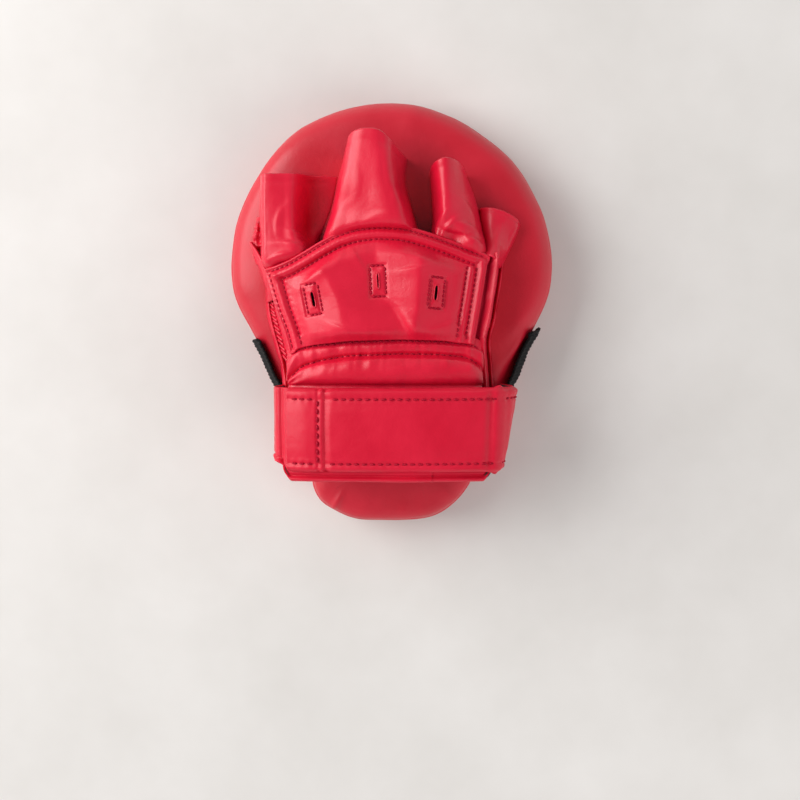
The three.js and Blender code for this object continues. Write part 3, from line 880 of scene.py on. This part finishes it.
# ---------------------------------------------------------------- finger sleeves
# each sleeve as rows of points (x, y, z), from its root to its rim
INDEX = [
    [(-69.5, 20.5, 56.5), (-67.5, 21, 59.5), (-63.0, 22.5, 61.5), (-56.5, 25.3, 63.5),
     (-51, 28.3, 65.0), (-46.5, 31.3, 64.5), (-43.6, 33.8, 58), (-41.4, 36.6, 49)],
    [(-73.4, 28, 50), (-72.6, 28, 57), (-70.2, 28, 64.6), (-67.0, 29.0, 66.5), (-58.5, 31.5, 68.5),
     (-50.5, 35.2, 66.5), (-45.0, 38.2, 55.5), (-41.0, 40.5, 46.5)],
    [(-74.6, 40, 45.5), (-73.6, 40.5, 54.5), (-71.0, 41.0, 64.0), (-67.8, 41.8, 65.8),
     (-60.0, 43.0, 66.2), (-52.8, 45, 64.6), (-47.4, 47.0, 49.0), (-38.4, 49, 46.0)],
    [(-75.2, 58, 45.5), (-74.0, 58.3, 53.5), (-71.4, 58.6, 62.6), (-68.4, 59, 64.4),
     (-60.0, 59.5, 64.0), (-53.6, 60, 62.2), (-47.4, 60.5, 48.0), (-34.2, 61, 46.0)],
    [(-74.2, 76, 45.5), (-73.4, 76.3, 53.5), (-71.2, 76.5, 61.2), (-68.2, 76.6, 62.8),
     (-60.0, 76.8, 61.8), (-53.0, 77.0, 59.4), (-45.8, 77.0, 48.6), (-30.8, 76.6, 46.0)],
]
MIDDLE = [
    [(-38.5, 36.8, 67), (-35, 39, 70), (-29, 42, 70.5), (-20, 44.8, 70.8), (-9, 46.2, 71),
     (3, 45.7, 71), (11, 44.5, 70.5), (14.5, 43.8, 69), (16, 43.6, 66)],
    [(-38.6, 41.5, 52), (-36.8, 42.8, 63), (-32.6, 45, 70.8), (-23.0, 47.6, 73.6),
     (-10.6, 49.4, 76.0), (1.5, 49.2, 77.6), (9.2, 48.0, 75.5), (13.5, 47.4, 66), (15.2, 47.0, 54)],
    [(-34.8, 56, 45.5), (-33.2, 56, 58), (-30.2, 56.2, 69.0), (-22.0, 56.8, 73.6),
     (-11.5, 57.2, 76.8), (-0.5, 57.4, 79.2), (6.4, 57.2, 76.8), (10.8, 57, 62), (12.8, 57, 45.5)],
    [(-30.6, 74, 45.5), (-29.0, 74.3, 58), (-26.4, 74.6, 72.5), (-20.5, 75, 77.0),
     (-12.5, 75.2, 78.8), (-4.6, 75.2, 79.2), (1.0, 75, 76.8), (5.6, 74.5, 62), (8.4, 74, 45.5)],
    [(-27.4, 86.0, 45.5), (-25.6, 89.5, 58), (-22.8, 96.2, 71.5), (-18.0, 98.8, 76.6),
     (-12.0, 99.4, 78.2), (-6.0, 98.4, 78.0), (-0.5, 94.6, 75), (4.6, 90.0, 61.5), (9.4, 86.4, 45.5)],
]
RING = [
    [(22.8, 39.8, 66), (25.5, 38.8, 67.5), (30, 37.3, 67.8), (36, 35, 67.5), (43, 32.4, 66.8),
     (49, 29.8, 65.5), (53, 28.2, 63.5), (55.2, 27.5, 60)],
    [(22.9, 45.0, 58), (25.2, 44.6, 66.5), (28.8, 43.8, 69.5), (35.4, 41.8, 69.0), (42.8, 39.2, 71),
     (49.4, 36.4, 68), (53, 34.6, 61), (55, 33.6, 52)],
    [(23.4, 54, 45.5), (24.4, 54.5, 59), (28.2, 54.5, 71.5), (32.5, 54, 73.0), (40.0, 53, 69.8),
     (47.5, 51, 62.5), (50.8, 49.5, 53), (52.3, 48.5, 45.5)],
    [(22.8, 66, 45.5), (23.4, 66.3, 58), (26.6, 66, 70), (31.0, 66, 73.2), (37.0, 65.5, 69.0),
     (43.5, 64.5, 59.8), (46.8, 63.5, 52), (48.6, 63, 45.5)],
    [(22, 77.5, 45.5), (21.8, 79, 58), (24.0, 82, 69.0), (28.4, 83.8, 73.2), (33.2, 84.2, 71.5),
     (38.0, 82.8, 63), (41.2, 80, 53), (43, 77.5, 45.5)],
]
LITTLE = [
    [(53.0, 32.5, 64), (54.8, 32.0, 66), (57.0, 31, 66.5), (59.0, 29.2, 64.5), (60.6, 27.4, 59),
     (61.7, 25.8, 53.5), (62.4, 24.8, 49), (62.8, 24.3, 46)],
    [(52.0, 38.5, 50), (53.6, 38.9, 56.5), (57.0, 38.9, 60), (60.4, 38.2, 59.4), (63.4, 36.8, 56.0),
     (65.8, 35.2, 52.2), (66.8, 34.4, 49), (67.4, 33.6, 45.5)],
    [(50.0, 48, 45.5), (51.8, 48.4, 52), (56, 48.6, 55.6), (61.2, 48.2, 55.6), (66.0, 46.8, 53.8),
     (69.6, 44.8, 51.6), (71.0, 43.6, 48.5), (71.6, 42.6, 45.5)],
    [(49.0, 57.6, 45.5), (51.0, 58.4, 50.5), (55.6, 58.4, 54.0), (61.2, 57.2, 54.8),
     (66.8, 55.0, 53.8), (71.4, 52.2, 51.6), (73.2, 50.4, 48.5), (73.8, 49.4, 45.5)],
]
THUMB = [
    [(-71.2, 5, 45.5), (-71.0, 5.5, 49), (-69.5, 6, 53), (-67.0, 7, 57)],
    [(-71.8, 13, 45.5), (-71.8, 14, 50), (-70.8, 14.5, 55), (-68.5, 15.5, 59)],
    [(-76.2, 29, 45.5), (-75.8, 27, 50.5), (-73.4, 24.5, 55.5), (-70.2, 21.5, 60)],
    [(-80.6, 39.5, 45.5), (-80.2, 38.8, 50.5), (-77.0, 35.5, 53.5), (-73.4, 30.0, 56.5)],
]
THUMB_GATHER = [
    [(-77.6, 27, 45.3), (-77.0, 27.5, 46.6), (-75.6, 28, 47.6), (-73.8, 28.5, 48.6), (-71.0, 29, 51)],
    [(-79.8, 36, 45.3), (-79.0, 36.2, 47.5), (-77.0, 36.4, 49.0), (-74.5, 36.5, 49.5),
     (-71.0, 36.5, 52)],
    [(-79.2, 42, 45.3), (-78.4, 42, 48.5), (-76.5, 42, 50.0), (-74.2, 42, 49.5), (-71.2, 42, 53)],
    [(-78.2, 48, 45.3), (-77.5, 48, 48.0), (-76.0, 48, 49.5), (-74.2, 48, 49.0), (-71.6, 48, 52)],
    [(-76.8, 54, 45.3), (-76.2, 54, 46.8), (-75.2, 54, 47.6), (-74.0, 54, 47.6), (-72.2, 54, 49)],
]


def loft(rows, nu, nv):
    rows = np.array(rows, float)
    U, V = grid(nu, nv)
    bars = np.stack([spline(r, U[:, 0]) for r in rows])  # rows, nu, 3
    return U, V, np.stack([spline(bars[:, i], V[i]) for i in range(len(U))])


# crisp folds: x, y, direction in degrees, reach, height, width
SLEEVE_FOLDS = {
    "index": [
        (-55, 38, -20, 8, 1.5, 1.6), (-52, 43.5, -32, 7, 1.0, 1.8), (-60, 32.5, 10, 7, 0.9, 1.6),
        (-49.5, 37.5, -50, 5, 1.3, 1.3), (-63, 52, 75, 9, 0.6, 2.2),
    ],
    "middle": [
        (-30, 52, 70, 10, 0.4, 2.4), (-6, 53, 12, 12, 0.4, 3.5), (2.0, 66, 100, 12, 0.3, 2.2),
        (-14, 70, 84, 12, -0.3, 4.0),
    ],
    "ring": [
        (26.0, 47, 78, 8, 1.2, 1.2), (32, 48.5, 48, 7, 1.3, 1.4), (42, 48, -18, 8, 1.3, 1.9),
        (37, 42.0, -6, 8, -2.0, 3.0), (47, 39.5, -28, 6, 1.1, 1.8), (45, 56, -62, 14, 0.5, 1.6),
    ],
    "little": [(59, 41, 82, 9, 0.8, 1.6), (68.5, 44, 60, 9, 0.5, 1.2)],
}
# name, rows, and the grid's two counts
SLEEVES = (
    ("index", INDEX, 84, 70), ("middle", MIDDLE, 96, 76), ("ring", RING, 84, 70), ("little", LITTLE, 60, 46),
)


def creases(P, folds):
    """How far crisp folds lift a surface: steep on one side, gentle on the other."""
    depth = np.zeros(P.shape[:2])
    for fx, fy, turn, reach, height, wide in folds:
        a, b = line_frame(fx, fy, turn, P[..., 0], P[..., 1])
        b = b + 0.03 * a**2 * math.copysign(1, height)
        fall = np.where(b > 0, bell(b, wide * 0.6), bell(b, wide * 1.6))
        depth += height * fall * bell(a, reach)
    return depth


def plant(P):
    """Bring the lower edges down into the pad's cover."""
    P = P.copy()
    P[..., 2] -= (1.7 + 0.9 * smooth(-P[..., 0], 66, 76)) * (1 - smooth(P[..., 2], 45.6, 50))
    return P


def glove_part(name, P, thickness, replaces=(), inner=None):
    return shell(name, P, thickness, RED_GLOVE, "red_leather_glove", replaces=replaces, inner=inner)


def build_sleeves():
    for k, (name, rows, nu, nv) in enumerate(SLEEVES):
        U, V, P = loft(rows, nu, nv)
        soft = fbm(P, 17.0, 4.0 + 3 * k)
        fine = fbm(P * [1.3, 0.5, 1.3], 5.5, 9.0 + k)
        root = 1 - smooth(V, 0.0, 0.35)
        inside = smooth(np.minimum(U, 1 - U), 0.0, 0.12)
        folds = creases(P, SLEEVE_FOLDS[name]) * smooth(V, 0, 0.08)
        depth = inside * (0.5 * soft + 0.12 * fine * (0.3 + 1.6 * root) + folds)
        P = P + normals(P) * depth[..., None]
        # the rim is turned in and stitched down, so it pulls in a little
        P = P - normals(P) * (0.35 * bell(V - 0.94, 0.02) * inside)[..., None]
        P[..., 2] = np.maximum(P[..., 2], GLOVE_Z - 0.6)
        glove_part(f"sleeve_{name}", plant(P), 1.3, [f"finger_sleeve_{name}"], BACKING)
    P = loft(THUMB, 30, 40)[2]
    P = P + normals(P) * (0.4 * fbm(P, 8.0, 21.0))[..., None]
    glove_part("sleeve_thumb", plant(P), 1.3, ["thumb_sleeve"])
    U, V, P = loft(THUMB_GATHER, 36, 60)
    ripple = np.sin(P[..., 1] * 2 * math.pi / 5.2 + 1.5 * fbm(P, 6.0, 23.0))
    pucker = (0.6 * ripple + 0.7 * fbm(P, 3.2, 27.0)) * smooth(np.minimum(U, 1 - U), 0, 0.25)
    P = P + normals(P) * (pucker * smooth(1 - V, 0, 0.2))[..., None]
    glove_part("thumb_gather", plant(P), 1.0)


# ---------------------------------------------------------------- side walls, roll, cuff and strap
# left wall: (y, x of its foot, x of its upper edge)
LEFT_WALL = (
    (31, -71, -69), (24.8, -69.9, -68.4), (14, -70, -66.2), (3, -69.8, -63), (-6, -68.3, -59.8),
    (-17, -65.4, -56.5), (-28.4, -62.3, -55), (-42, -60.6, -55), (-52, -60.2, -54),
)
# right wall: (y, x of its foot, x of the panel's edge, height of its fold)
RIGHT_WALL = (
    (33, 57.6, 54.5, 65.5), (27, 57.4, 52.8, 66.4), (12, 55.4, 50.5, 67.6), (-4, 52.8, 48.2, 68.0),
    (-16, 50.2, 46.0, 67.2), (-28, 51.0, 48.0, 64.5), (-42, 52.0, 48.0, 62.0), (-52, 52.6, 48.0, 61.0),
)


def left_wall():
    for y, c, e in LEFT_WALL:
        w = max(2.0, e - c)
        yield y, [
            (c - 2.2, 45.3), (c - 1.4, 47.2), (c - 0.1, 48.6), (c + 1.1, 47.9), (c + 1.6, 48.0),
            (c + 0.4 * w + 1, 53.6), (c + 0.75 * w + 0.6, 59.6), (e + 2.0, 63.2), (e + 6.0, 64.4),
        ]


def right_wall():
    for y, c, e, top in RIGHT_WALL:
        yield y, [
            (e - 5.0, top - 4.5), (e - 0.2, top - 3.6), (c - 2.8, top - 3.4), (c - 1.4, top - 2.2),
            (c + 0.8, top - 0.3), (c + 2.0, top - 0.1), (c + 3.0, top - 4.5), (c + 3.8, 53.0),
            (c + 4.4, 48.6), (c + 5.0, 47.9), (c + 5.7, 49.4), (c + 6.5, 49.0), (c + 7.1, 45.3),
        ]


def overcast(P):
    """Slanting overcast stitches close the left wall along the hollow beside the panel."""
    last_i, last_j = P.shape[0] - 1, P.shape[1] - 1
    parts = []
    for k in range(17):
        i, j = int(0.36 * last_i), int(lerp(0.30, 0.80, k / 16) * last_j)
        a, b = P[i, j], P[min(i + 16, last_i), max(j - 4, 0)]
        path = np.stack([lerp(a, b, q) for q in np.linspace(0, 1, 6)])
        path[:, 2] += np.array([-0.5, 0.5, 0.9, 0.9, 0.5, -0.5])
        parts.append(tube(path, 0.75))
    mesh_object("side_wall_stitches", *join_parts(parts), RED_GLOVE, "red_leather_glove")


def build_side_walls():
    for name, stations, nu in (("left", left_wall(), 60), ("right", right_wall(), 80)):
        rows = [[(x, y, z) for x, z in points] for y, points in stations]
        P = loft(rows[::-1], nu, 110)[2]
        soft = fbm(P, 9.0, 33.0)
        fine = fbm(P * [1, 0.4, 1], 4.0, 35.0)
        P = plant(P + normals(P) * (0.35 * soft + 0.15 * fine)[..., None])
        if normals(P)[..., 2].mean() < 0:
            P = P[::-1]
        glove_part(f"side_wall_{name}", P, 1.2, [f"side_gusset_{name}"])
        if name == "left":
            overcast(P)


ROLL_LEFT, ROLL_RIGHT, ROLL_LOW = -60.8, 54.6, -41.6  # the roll's ends, and its lower edge


def hump(q):
    """A rounded hump over 0..1, 0 at both ends."""
    return np.clip(1 - (2 * np.clip(q, 0, 1) - 1) ** 2, 0, 1)


def roll_surface(s, v):
    """The padded roll over the wrist: v 0 at the cuff, 1 at the hand panel."""
    s, v = np.broadcast_arrays(np.asarray(s, float), np.asarray(v, float))
    x = lerp(ROLL_LEFT, ROLL_RIGHT, s)
    top, row = curve_at(ROLL_SEAM, x) + 0.3, curve_at(ROLL_ROW, x)
    y = lerp(ROLL_LOW, top, v)
    flat = np.stack([x, y, 0 * x], -1)
    ends = np.minimum(x - ROLL_LEFT, ROLL_RIGHT - x)
    under = row - y
    span = np.maximum(row - ROLL_LOW, 3.0)
    crown = hump(under / span) ** 0.55
    padding = crown * smooth(ends, 0.5, 9) * np.clip(span / 16, 0, 1) * smooth(under, -0.5, 2.5)
    depth = EDGE - 0.7 + 5.4 * padding
    depth += 1.5 * hump((top - y) / np.maximum(top - row, 3)) * smooth(ends, 0, 5)
    gather = fbm(np.stack([x, 0.25 * y, 0 * x], -1), 6.5, 41.0)
    close = fbm(np.stack([x, 0.15 * y, 0 * x], -1), 4.2, 47.0)
    depth += (1.0 * gather + 0.45 * close) * bell(under - 1.5, 4.5)
    depth += (0.5 * gather + 0.35 * close) * bell(top - y - 3, 4)
    depth += 0.7 * fbm(flat, 20.0, 43.0) * smooth(ends, 0, 10) + 0.12 * fbm(flat, 5.0, 44.0)
    # creases fan out from the left end
    angle = np.arctan2(y + 44, x + 62)
    fan = np.sin(angle * 19 + 2.0 * fbm(flat, 14.0, 45.0))
    depth += 0.5 * fan * bell(ends, 12) * smooth(-x, 30, 45)
    # both rows of stitching sink in
    for near in (top - y - 0.9, under):
        depth += 0.13 * np.cos(2 * math.pi * x / 3.6) * bell(near, 2.4) - 0.8 * bell(near, 1.0)
    depth -= 4.5 * (1 - smooth(ends, 0, 5.0)) + 2.0 * (1 - smooth(v, 0, 0.09))
    P = arch(share_at(x, y), y, depth)
    # the lower edge goes in under the cuff, along its inner face
    tuck_in = 1 - smooth(v, 0.0, 0.05)
    P[..., 1] -= 5.0 * tuck_in
    P[..., 0] -= 3.4 * tuck_in * (1 - smooth(x - ROLL_LEFT, 0, 9))
    under_cuff = cuff(np.linspace(0.26, 0.745, 120), -46.5, 0.2)
    reach = np.interp(x, under_cuff[:, 0], under_cuff[:, 2])
    P[..., 2] = lerp(P[..., 2], np.maximum(P[..., 2], reach), tuck_in)
    # the upper edge is sewn in under the panel
    sewn_in = smooth(v, 0.975, 1.0)
    P[..., 1] += 4.0 * sewn_in
    P[..., 2] -= 0.5 * sewn_in
    return P


def build_roll():
    P = roll_surface(*grid(150, 60))
    glove_part("wrist_roll", P, 1.4, ["wrist_roll_cover"], BACKING)
    s, v = np.meshgrid(np.linspace(0.16, 0.86, 60), np.linspace(0.14, 0.42, 16), indexing="ij")
    filling("wrist_roll_filling", roll_surface(s, v), 2.2, 4.6, "wrist_roll_foam")
    s = np.linspace(0.045, 0.955, 360)
    x = lerp(ROLL_LEFT, ROLL_RIGHT, s)
    seam, row = curve_at(ROLL_SEAM, x), curve_at(ROLL_ROW, x)
    places = [(line - ROLL_LOW) / (seam + 0.3 - ROLL_LOW) for line in (seam - 0.6, row)]
    rows = [stitch_row(roll_surface, s, v, 0.003, 0.01) for v in places]
    stitches("wrist_roll_stitches", rows, THREAD, "red_leather_glove", "mitt", 3.4, 2.3, 0.55)


def cuff(t, y, depth=0.0):
    """Point on the loop round the wrist, from the index side's foot over the wrist to the other."""
    t, y, depth = np.broadcast_arrays(np.asarray(t, float), np.asarray(y, float), np.asarray(depth, float))
    share = np.clip((y + 85) / 42.5, -0.1, 1.02)
    foot = half_width(y) - 11
    bulge = 59.6 + 7.6 * share
    xs = [-foot, -61.8, -64.0, -54.2, 0, 53.5 + 1.5 * share, bulge, bulge - 1.5, foot]
    zs = [42.0, 50, 62, 73.5, 78, 73.5, 63, 51, 42.0]
    return over_arch(xs, zs, t, y, depth)


STRAP_LOW, STRAP_HIGH = -88.0, -42.0
ROW_LOW, ROW_HIGH = -83.3, -47.7  # its two stitch rows
MM_PER_T = 440.0  # length along the loop per unit of t, about, over the wrist


def cuff_share(x, y=-64.0, depth=6.3):
    """The share t where the layer at this depth passes x."""
    low, high = 0.2, 0.8
    for _ in range(30):
        mid = (low + high) / 2
        low, high = (mid, high) if cuff(mid, y, depth)[0] < x else (low, mid)
    return low


TAB_T, SEAM_T, FOLD_T = cuff_share(-58.6), cuff_share(-36.2), cuff_share(55.5)


def strap_depth(t, v):
    """Height of the strap over the loop, its row y, and the distance to its long edges."""
    t, v = np.broadcast_arrays(np.asarray(t, float), np.asarray(v, float))
    y = lerp(STRAP_LOW, STRAP_HIGH, v)
    edge = np.minimum(y - STRAP_LOW, STRAP_HIGH - y)
    base = cuff(t, y, 6.3)
    x = base[..., 0]
    depth = lerp(6.0, 3.2, smooth(t, FOLD_T - 0.015, FOLD_T + 0.05))
    depth = depth + 0.9 * smooth(edge, 0, 2.2) + 0.5 * smooth(edge, 7, 13)
    row = np.minimum(np.abs(y - ROW_LOW), np.abs(y - ROW_HIGH))
    depth -= 0.6 * bell(row, 1.0) + 1.4 * (1 - smooth(edge, 0, 1.2))
    depth += 0.14 * np.cos(2 * math.pi * x / 4.5) * bell(row, 2.2)
    depth -= 1.6 * (1 - smooth(x, -60, -45)) * (t < 0.5)
    depth += 0.40 * fbm(base, 26.0, 51.0) + 0.10 * fbm(base, 7.0, 52.0)
    return t, y, edge, depth


def strap_surface(t, v):
    t, y, edge, depth = strap_depth(t, v)
    return cuff(t, y, depth)


def strap_part(name, P, replaces):
    return shell(name, P, 2.3, RED_STRAP, "red_leather_strap", None, replaces, BACKING)


def build_strap():
    # places where the strap's fold by the right end and the tab near the vertical seam would bend; nothing
    # here uses them
    fold = ("mitt", "strap", (0.0640, -0.064, 0.0745), (0.0540, -0.064, 0.0815))
    peel = ("strap", "strap_end", (-0.0362, -0.064, 0.084), (-0.0405, -0.064, 0.084))
    # from the vertical seam near the tab, over the wrist, round the fold and down to the pad
    U, V = grid(210, 60)
    T = lerp(SEAM_T, 0.99, U)
    P = strap_surface(T, V)
    edge = strap_depth(T, V)[2]
    crease = bell(T - FOLD_T + 0.002, 0.006) * 1.3 * smooth(edge, 0, 4)
    swell = bell(T - FOLD_T - 0.018, 0.02) * 0.9
    P = P + normals(P) * (swell - crease - 1.1 * (1 - smooth(U, 0, 0.012)))[..., None]
    strap = strap_part("wrist_strap_skin", P, ["wrist_strap", "strap_anchor"])
    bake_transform(strap)
    # the tab with the hook tape under it
    U, V = grid(64, 60)
    T = lerp(TAB_T, SEAM_T, U)
    Q = strap_surface(T, V)
    run, back = (T - TAB_T) * MM_PER_T, (SEAM_T - T) * MM_PER_T
    sink = 1.2 * (1 - smooth(run, 0, 1.6)) + 1.0 * (1 - smooth(back, 0, 1.4)) + 0.5 * bell(back - 3.6, 0.9)
    tab = strap_part("strap_tab_skin", Q - normals(Q) * sink[..., None], ["strap_tab"])
    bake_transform(tab)
    # two long rows of stitching, which the vertical seam and the tab's end break
    long_v = [(y - STRAP_LOW) / (STRAP_HIGH - STRAP_LOW) for y in (ROW_LOW, ROW_HIGH)]
    whole = np.linspace(SEAM_T + 0.004, 0.93, 500)
    left = np.linspace(TAB_T + 0.005, SEAM_T - 0.009, 160)
    upright = np.linspace(*long_v, 160)
    at_seam = np.full_like(upright, SEAM_T - 0.0085)
    sewn = (("strap_stitches", [(whole, v) for v in long_v], fold),
            ("tab_stitches", [(left, v) for v in long_v] + [(at_seam, upright)], peel))
    for name, places, bend in sewn:
        rows = [stitch_row(strap_surface, t, v + 0 * t, 0.002, 0.01) for t, v in places]
        made = stitches(name, rows, THREAD, "red_leather_strap", None, 4.45, 2.7, 0.62)
        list(bend[:2])
        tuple(bend[2])
        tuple(bend[3])
        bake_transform(made)


CUFF_LOW, CUFF_HIGH = -93.9, -42.2


def cuff_surface(t, v, rise=0.0):
    x = cuff(t, -64.0, 1.6)[..., 0]
    side = 9.5 * smooth(np.abs(x + 1.5), 53.5, 62.5) + 2.0 * smooth(np.abs(t - 0.5), 0.2, 0.3)
    y = lerp(CUFF_LOW, CUFF_HIGH, v) + side * (1 - v) ** 2
    edge = y - CUFF_LOW - side
    # two lips along the lower edge, and a groove beside the tab
    lips = 0.5 * bell(edge - 1.2, 1.0) - 1.2 * (1 - smooth(edge, 0, 1.2)) - 1.9 * bell(edge - 3.2, 0.75)
    depth = 1.7 + lips + rise - 1.7 * bell(x + 61.4, 1.3) * smooth(t, 0.2, 0.24)
    return cuff(t, y, depth + 0.35 * fbm(cuff(t, y, 1.6), 18.0, 61.0))


def build_cuff():
    strap = "red_leather_strap"
    U, V = grid(200, 90)
    T = lerp(0.02, 0.548, U)
    # the flap's end lies over the right panel's
    P = cuff_surface(T, V, 1.8 * smooth(T, 0.46, 0.525) - 1.2 * smooth(T, 0.528, 0.548))
    parts = ["cuff_left_wall", "cuff_flap"]
    left = shell("cuff_left", P, 1.3, RED_STRAP, strap, None, parts, BACKING)
    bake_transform(left)
    P = cuff_surface(lerp(0.528, 0.98, U), V)
    shell("cuff_right", P, 1.6, RED_STRAP, strap, replaces=["cuff_right_panel"], inner=BACKING)


def build_elastics():
    # side, name, place of the upper end, the band's bulge and its spread, how far the upper end stands off
    bands = ((-1, "left", -18.0, 0.9, 0.22, 0.2), (1, "right", -12.0, 0.8, 0.2, 1.6))
    for side, name, high, bulge, spread, stand in bands:
        U, V = grid(24, 90)
        y = lerp(-47.0, high, V) + lerp(0, 1.6, U)
        drop = U if side > 0 else 1 - U  # 0 at the upper edge of the band
        z = lerp(41.0, 17.0, drop**1.3)
        wall = half_width(y) - tuck(side * 60.0 + 0 * y, y)
        gather = np.sin(y * 2 * math.pi / 2.1 + 0.6 * np.sin(drop * 9))
        wave = fbm(np.stack([0 * y, y, 0.3 * z], -1), 9.0, 71.0 + side)
        slack = lerp(0.0, 0.6, V) + bulge * bell(V - 0.3, spread) + stand * bell(V - 1.0, 0.3)
        sewn = bell(V - 0.045, 0.03) + bell(V - 0.955, 0.03)
        out = lerp(-3.0, 1.9, smooth(drop, 0.0, 0.75)) + slack + 0.22 * gather + 0.5 * wave - 0.9 * sewn
        P = np.stack([side * (wall + out), y, z], -1)
        up = normals(P)
        ends = [np.abs(V[0] - place).argmin() for place in (0.045, 0.07, 0.955, 0.93)]
        rows = [(P[:, j], up[:, j]) for j in ends]
        stitches(f"elastic_{name}_stitches", rows, BLACK_THREAD, "black_elastic", "mitt", 2.4, 1.7, 0.4)
        shell(f"elastic_{name}", P, 1.5, ELASTIC, "black_elastic", replaces=[f"side_elastic_{name}"])


def pad_top(x, y):
    """Height of the pad's back under the glove."""
    inset = half_width(y) - np.abs(x)
    flank, heel = smooth(-y, 8, 45), smooth(-y, 78, 112)
    return 44.2 - (1.6 * flank + 1.5 * heel) * smooth(inset, 26, 6)


PALM_LOW, PALM_HIGH, PALM_CORNER = -93.0, 39.0, 9.0  # the lining cloth's two ends and its corners' reach


def build_palm():
    """The lining cloth laid on the pad under the palm."""
    U, V = grid(70, 110)
    y = lerp(PALM_LOW, PALM_HIGH, V)
    ends = np.minimum(y - PALM_LOW, PALM_HIGH - y)
    corner = 7.0 * (1 - np.sqrt(np.clip(1 - np.clip(1 - ends / PALM_CORNER, 0, 1) ** 2, 0, 1)))
    half = np.minimum(51.0, half_width(y) - 15) - corner
    x = lerp(-half, half, U)
    edge = np.minimum(np.minimum(x + half, half - x), ends)
    P = np.stack([x, y, pad_top(x, y) + 1.1], -1)
    hem = 0.35 * bell(edge - 1.6, 1.2) - 0.35 * bell(edge - 3.6, 0.6)
    P[..., 2] += 0.25 * fbm(P, 20.0, 81.0) * smooth(edge, 2, 10) + hem
    cloth = shell("palm_cloth", P, 0.8, LINING, "black_lining", replaces=["palm_lining"])
    area = float(np.sum((half[0, 1:] + half[0, :-1]) * np.diff(y[0]))) * MM**2


def dress_cad():
    """The carried-over tapes get their fabric."""
    for name in ("loop_patch", "hook_patch"):
        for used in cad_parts[name].material_slots:
            used.material = TAPE


# ---------------------------------------------------------------- floor and light
def area_light(name, place, target, size, power, colour, shine=True):
    light = bpy.data.lights.new(name, "AREA")
    light.shape, light.size, light.size_y = "RECTANGLE", size[0], size[1]
    light.energy, light.color = power, colour
    lamp = bpy.data.objects.new(name, light)
    lamp.location = place
    lamp.visible_glossy = shine
    lamp.rotation_euler = (Vector(target) - Vector(place)).to_track_quat("-Z", "Y").to_euler()
    bpy.context.scene.collection.objects.link(lamp)


def build_stage():
    look = Look("floor", {"Roughness": 0.7, "Specular IOR Level": 0.2})
    cloud = look.texture("ShaderNodeTexNoise", Scale=9.0, Detail=4.0, Roughness=0.6)
    look.tint(cloud, (0.665, 0.642, 0.612), (0.735, 0.713, 0.687), 0.3, 0.7)
    size = 6000.0
    corners = [(-size, -size, 0), (size, -size, 0), (size, size, 0), (-size, size, 0)]
    mesh_object("floor", corners, [[0, 1, 2, 3]], look.material)

    # a bright horizon and a darker ceiling, so that level leather isn't hazy
    world = bpy.data.worlds.new("world")
    world.use_nodes = True
    nodes, links = world.node_tree.nodes, world.node_tree.links
    place = nodes.new("ShaderNodeTexCoord")
    split = nodes.new("ShaderNodeSeparateXYZ")
    links.new(place.outputs["Generated"], split.inputs[0])
    sky = nodes.new("ShaderNodeValToRGB")
    horizon, zenith = sky.color_ramp.elements
    horizon.position, horizon.color = 0.15, (0.92, 0.92, 0.94, 1)
    zenith.position, zenith.color = 0.95, (0.20, 0.20, 0.21, 1)
    links.new(split.outputs["Z"], sky.inputs["Fac"])
    links.new(sky.outputs["Color"], nodes["Background"].inputs["Color"])
    bpy.context.scene.world = world

    area_light("window", (-1.25, 0.43, 0.86), (0, 0, 0.03), (1.2, 1.5), 30.0, (1.0, 0.99, 0.98))
    area_light("room", (0.95, -0.75, 1.1), (0, 0, 0), (1.1, 0.9), 8.5, (1.0, 0.98, 0.95), shine=False)


build_camera()
build_pad()
build_panel()
build_sleeves()
build_side_walls()
build_roll()
build_strap()
build_cuff()
build_elastics()
build_palm()
dress_cad()
build_stage()
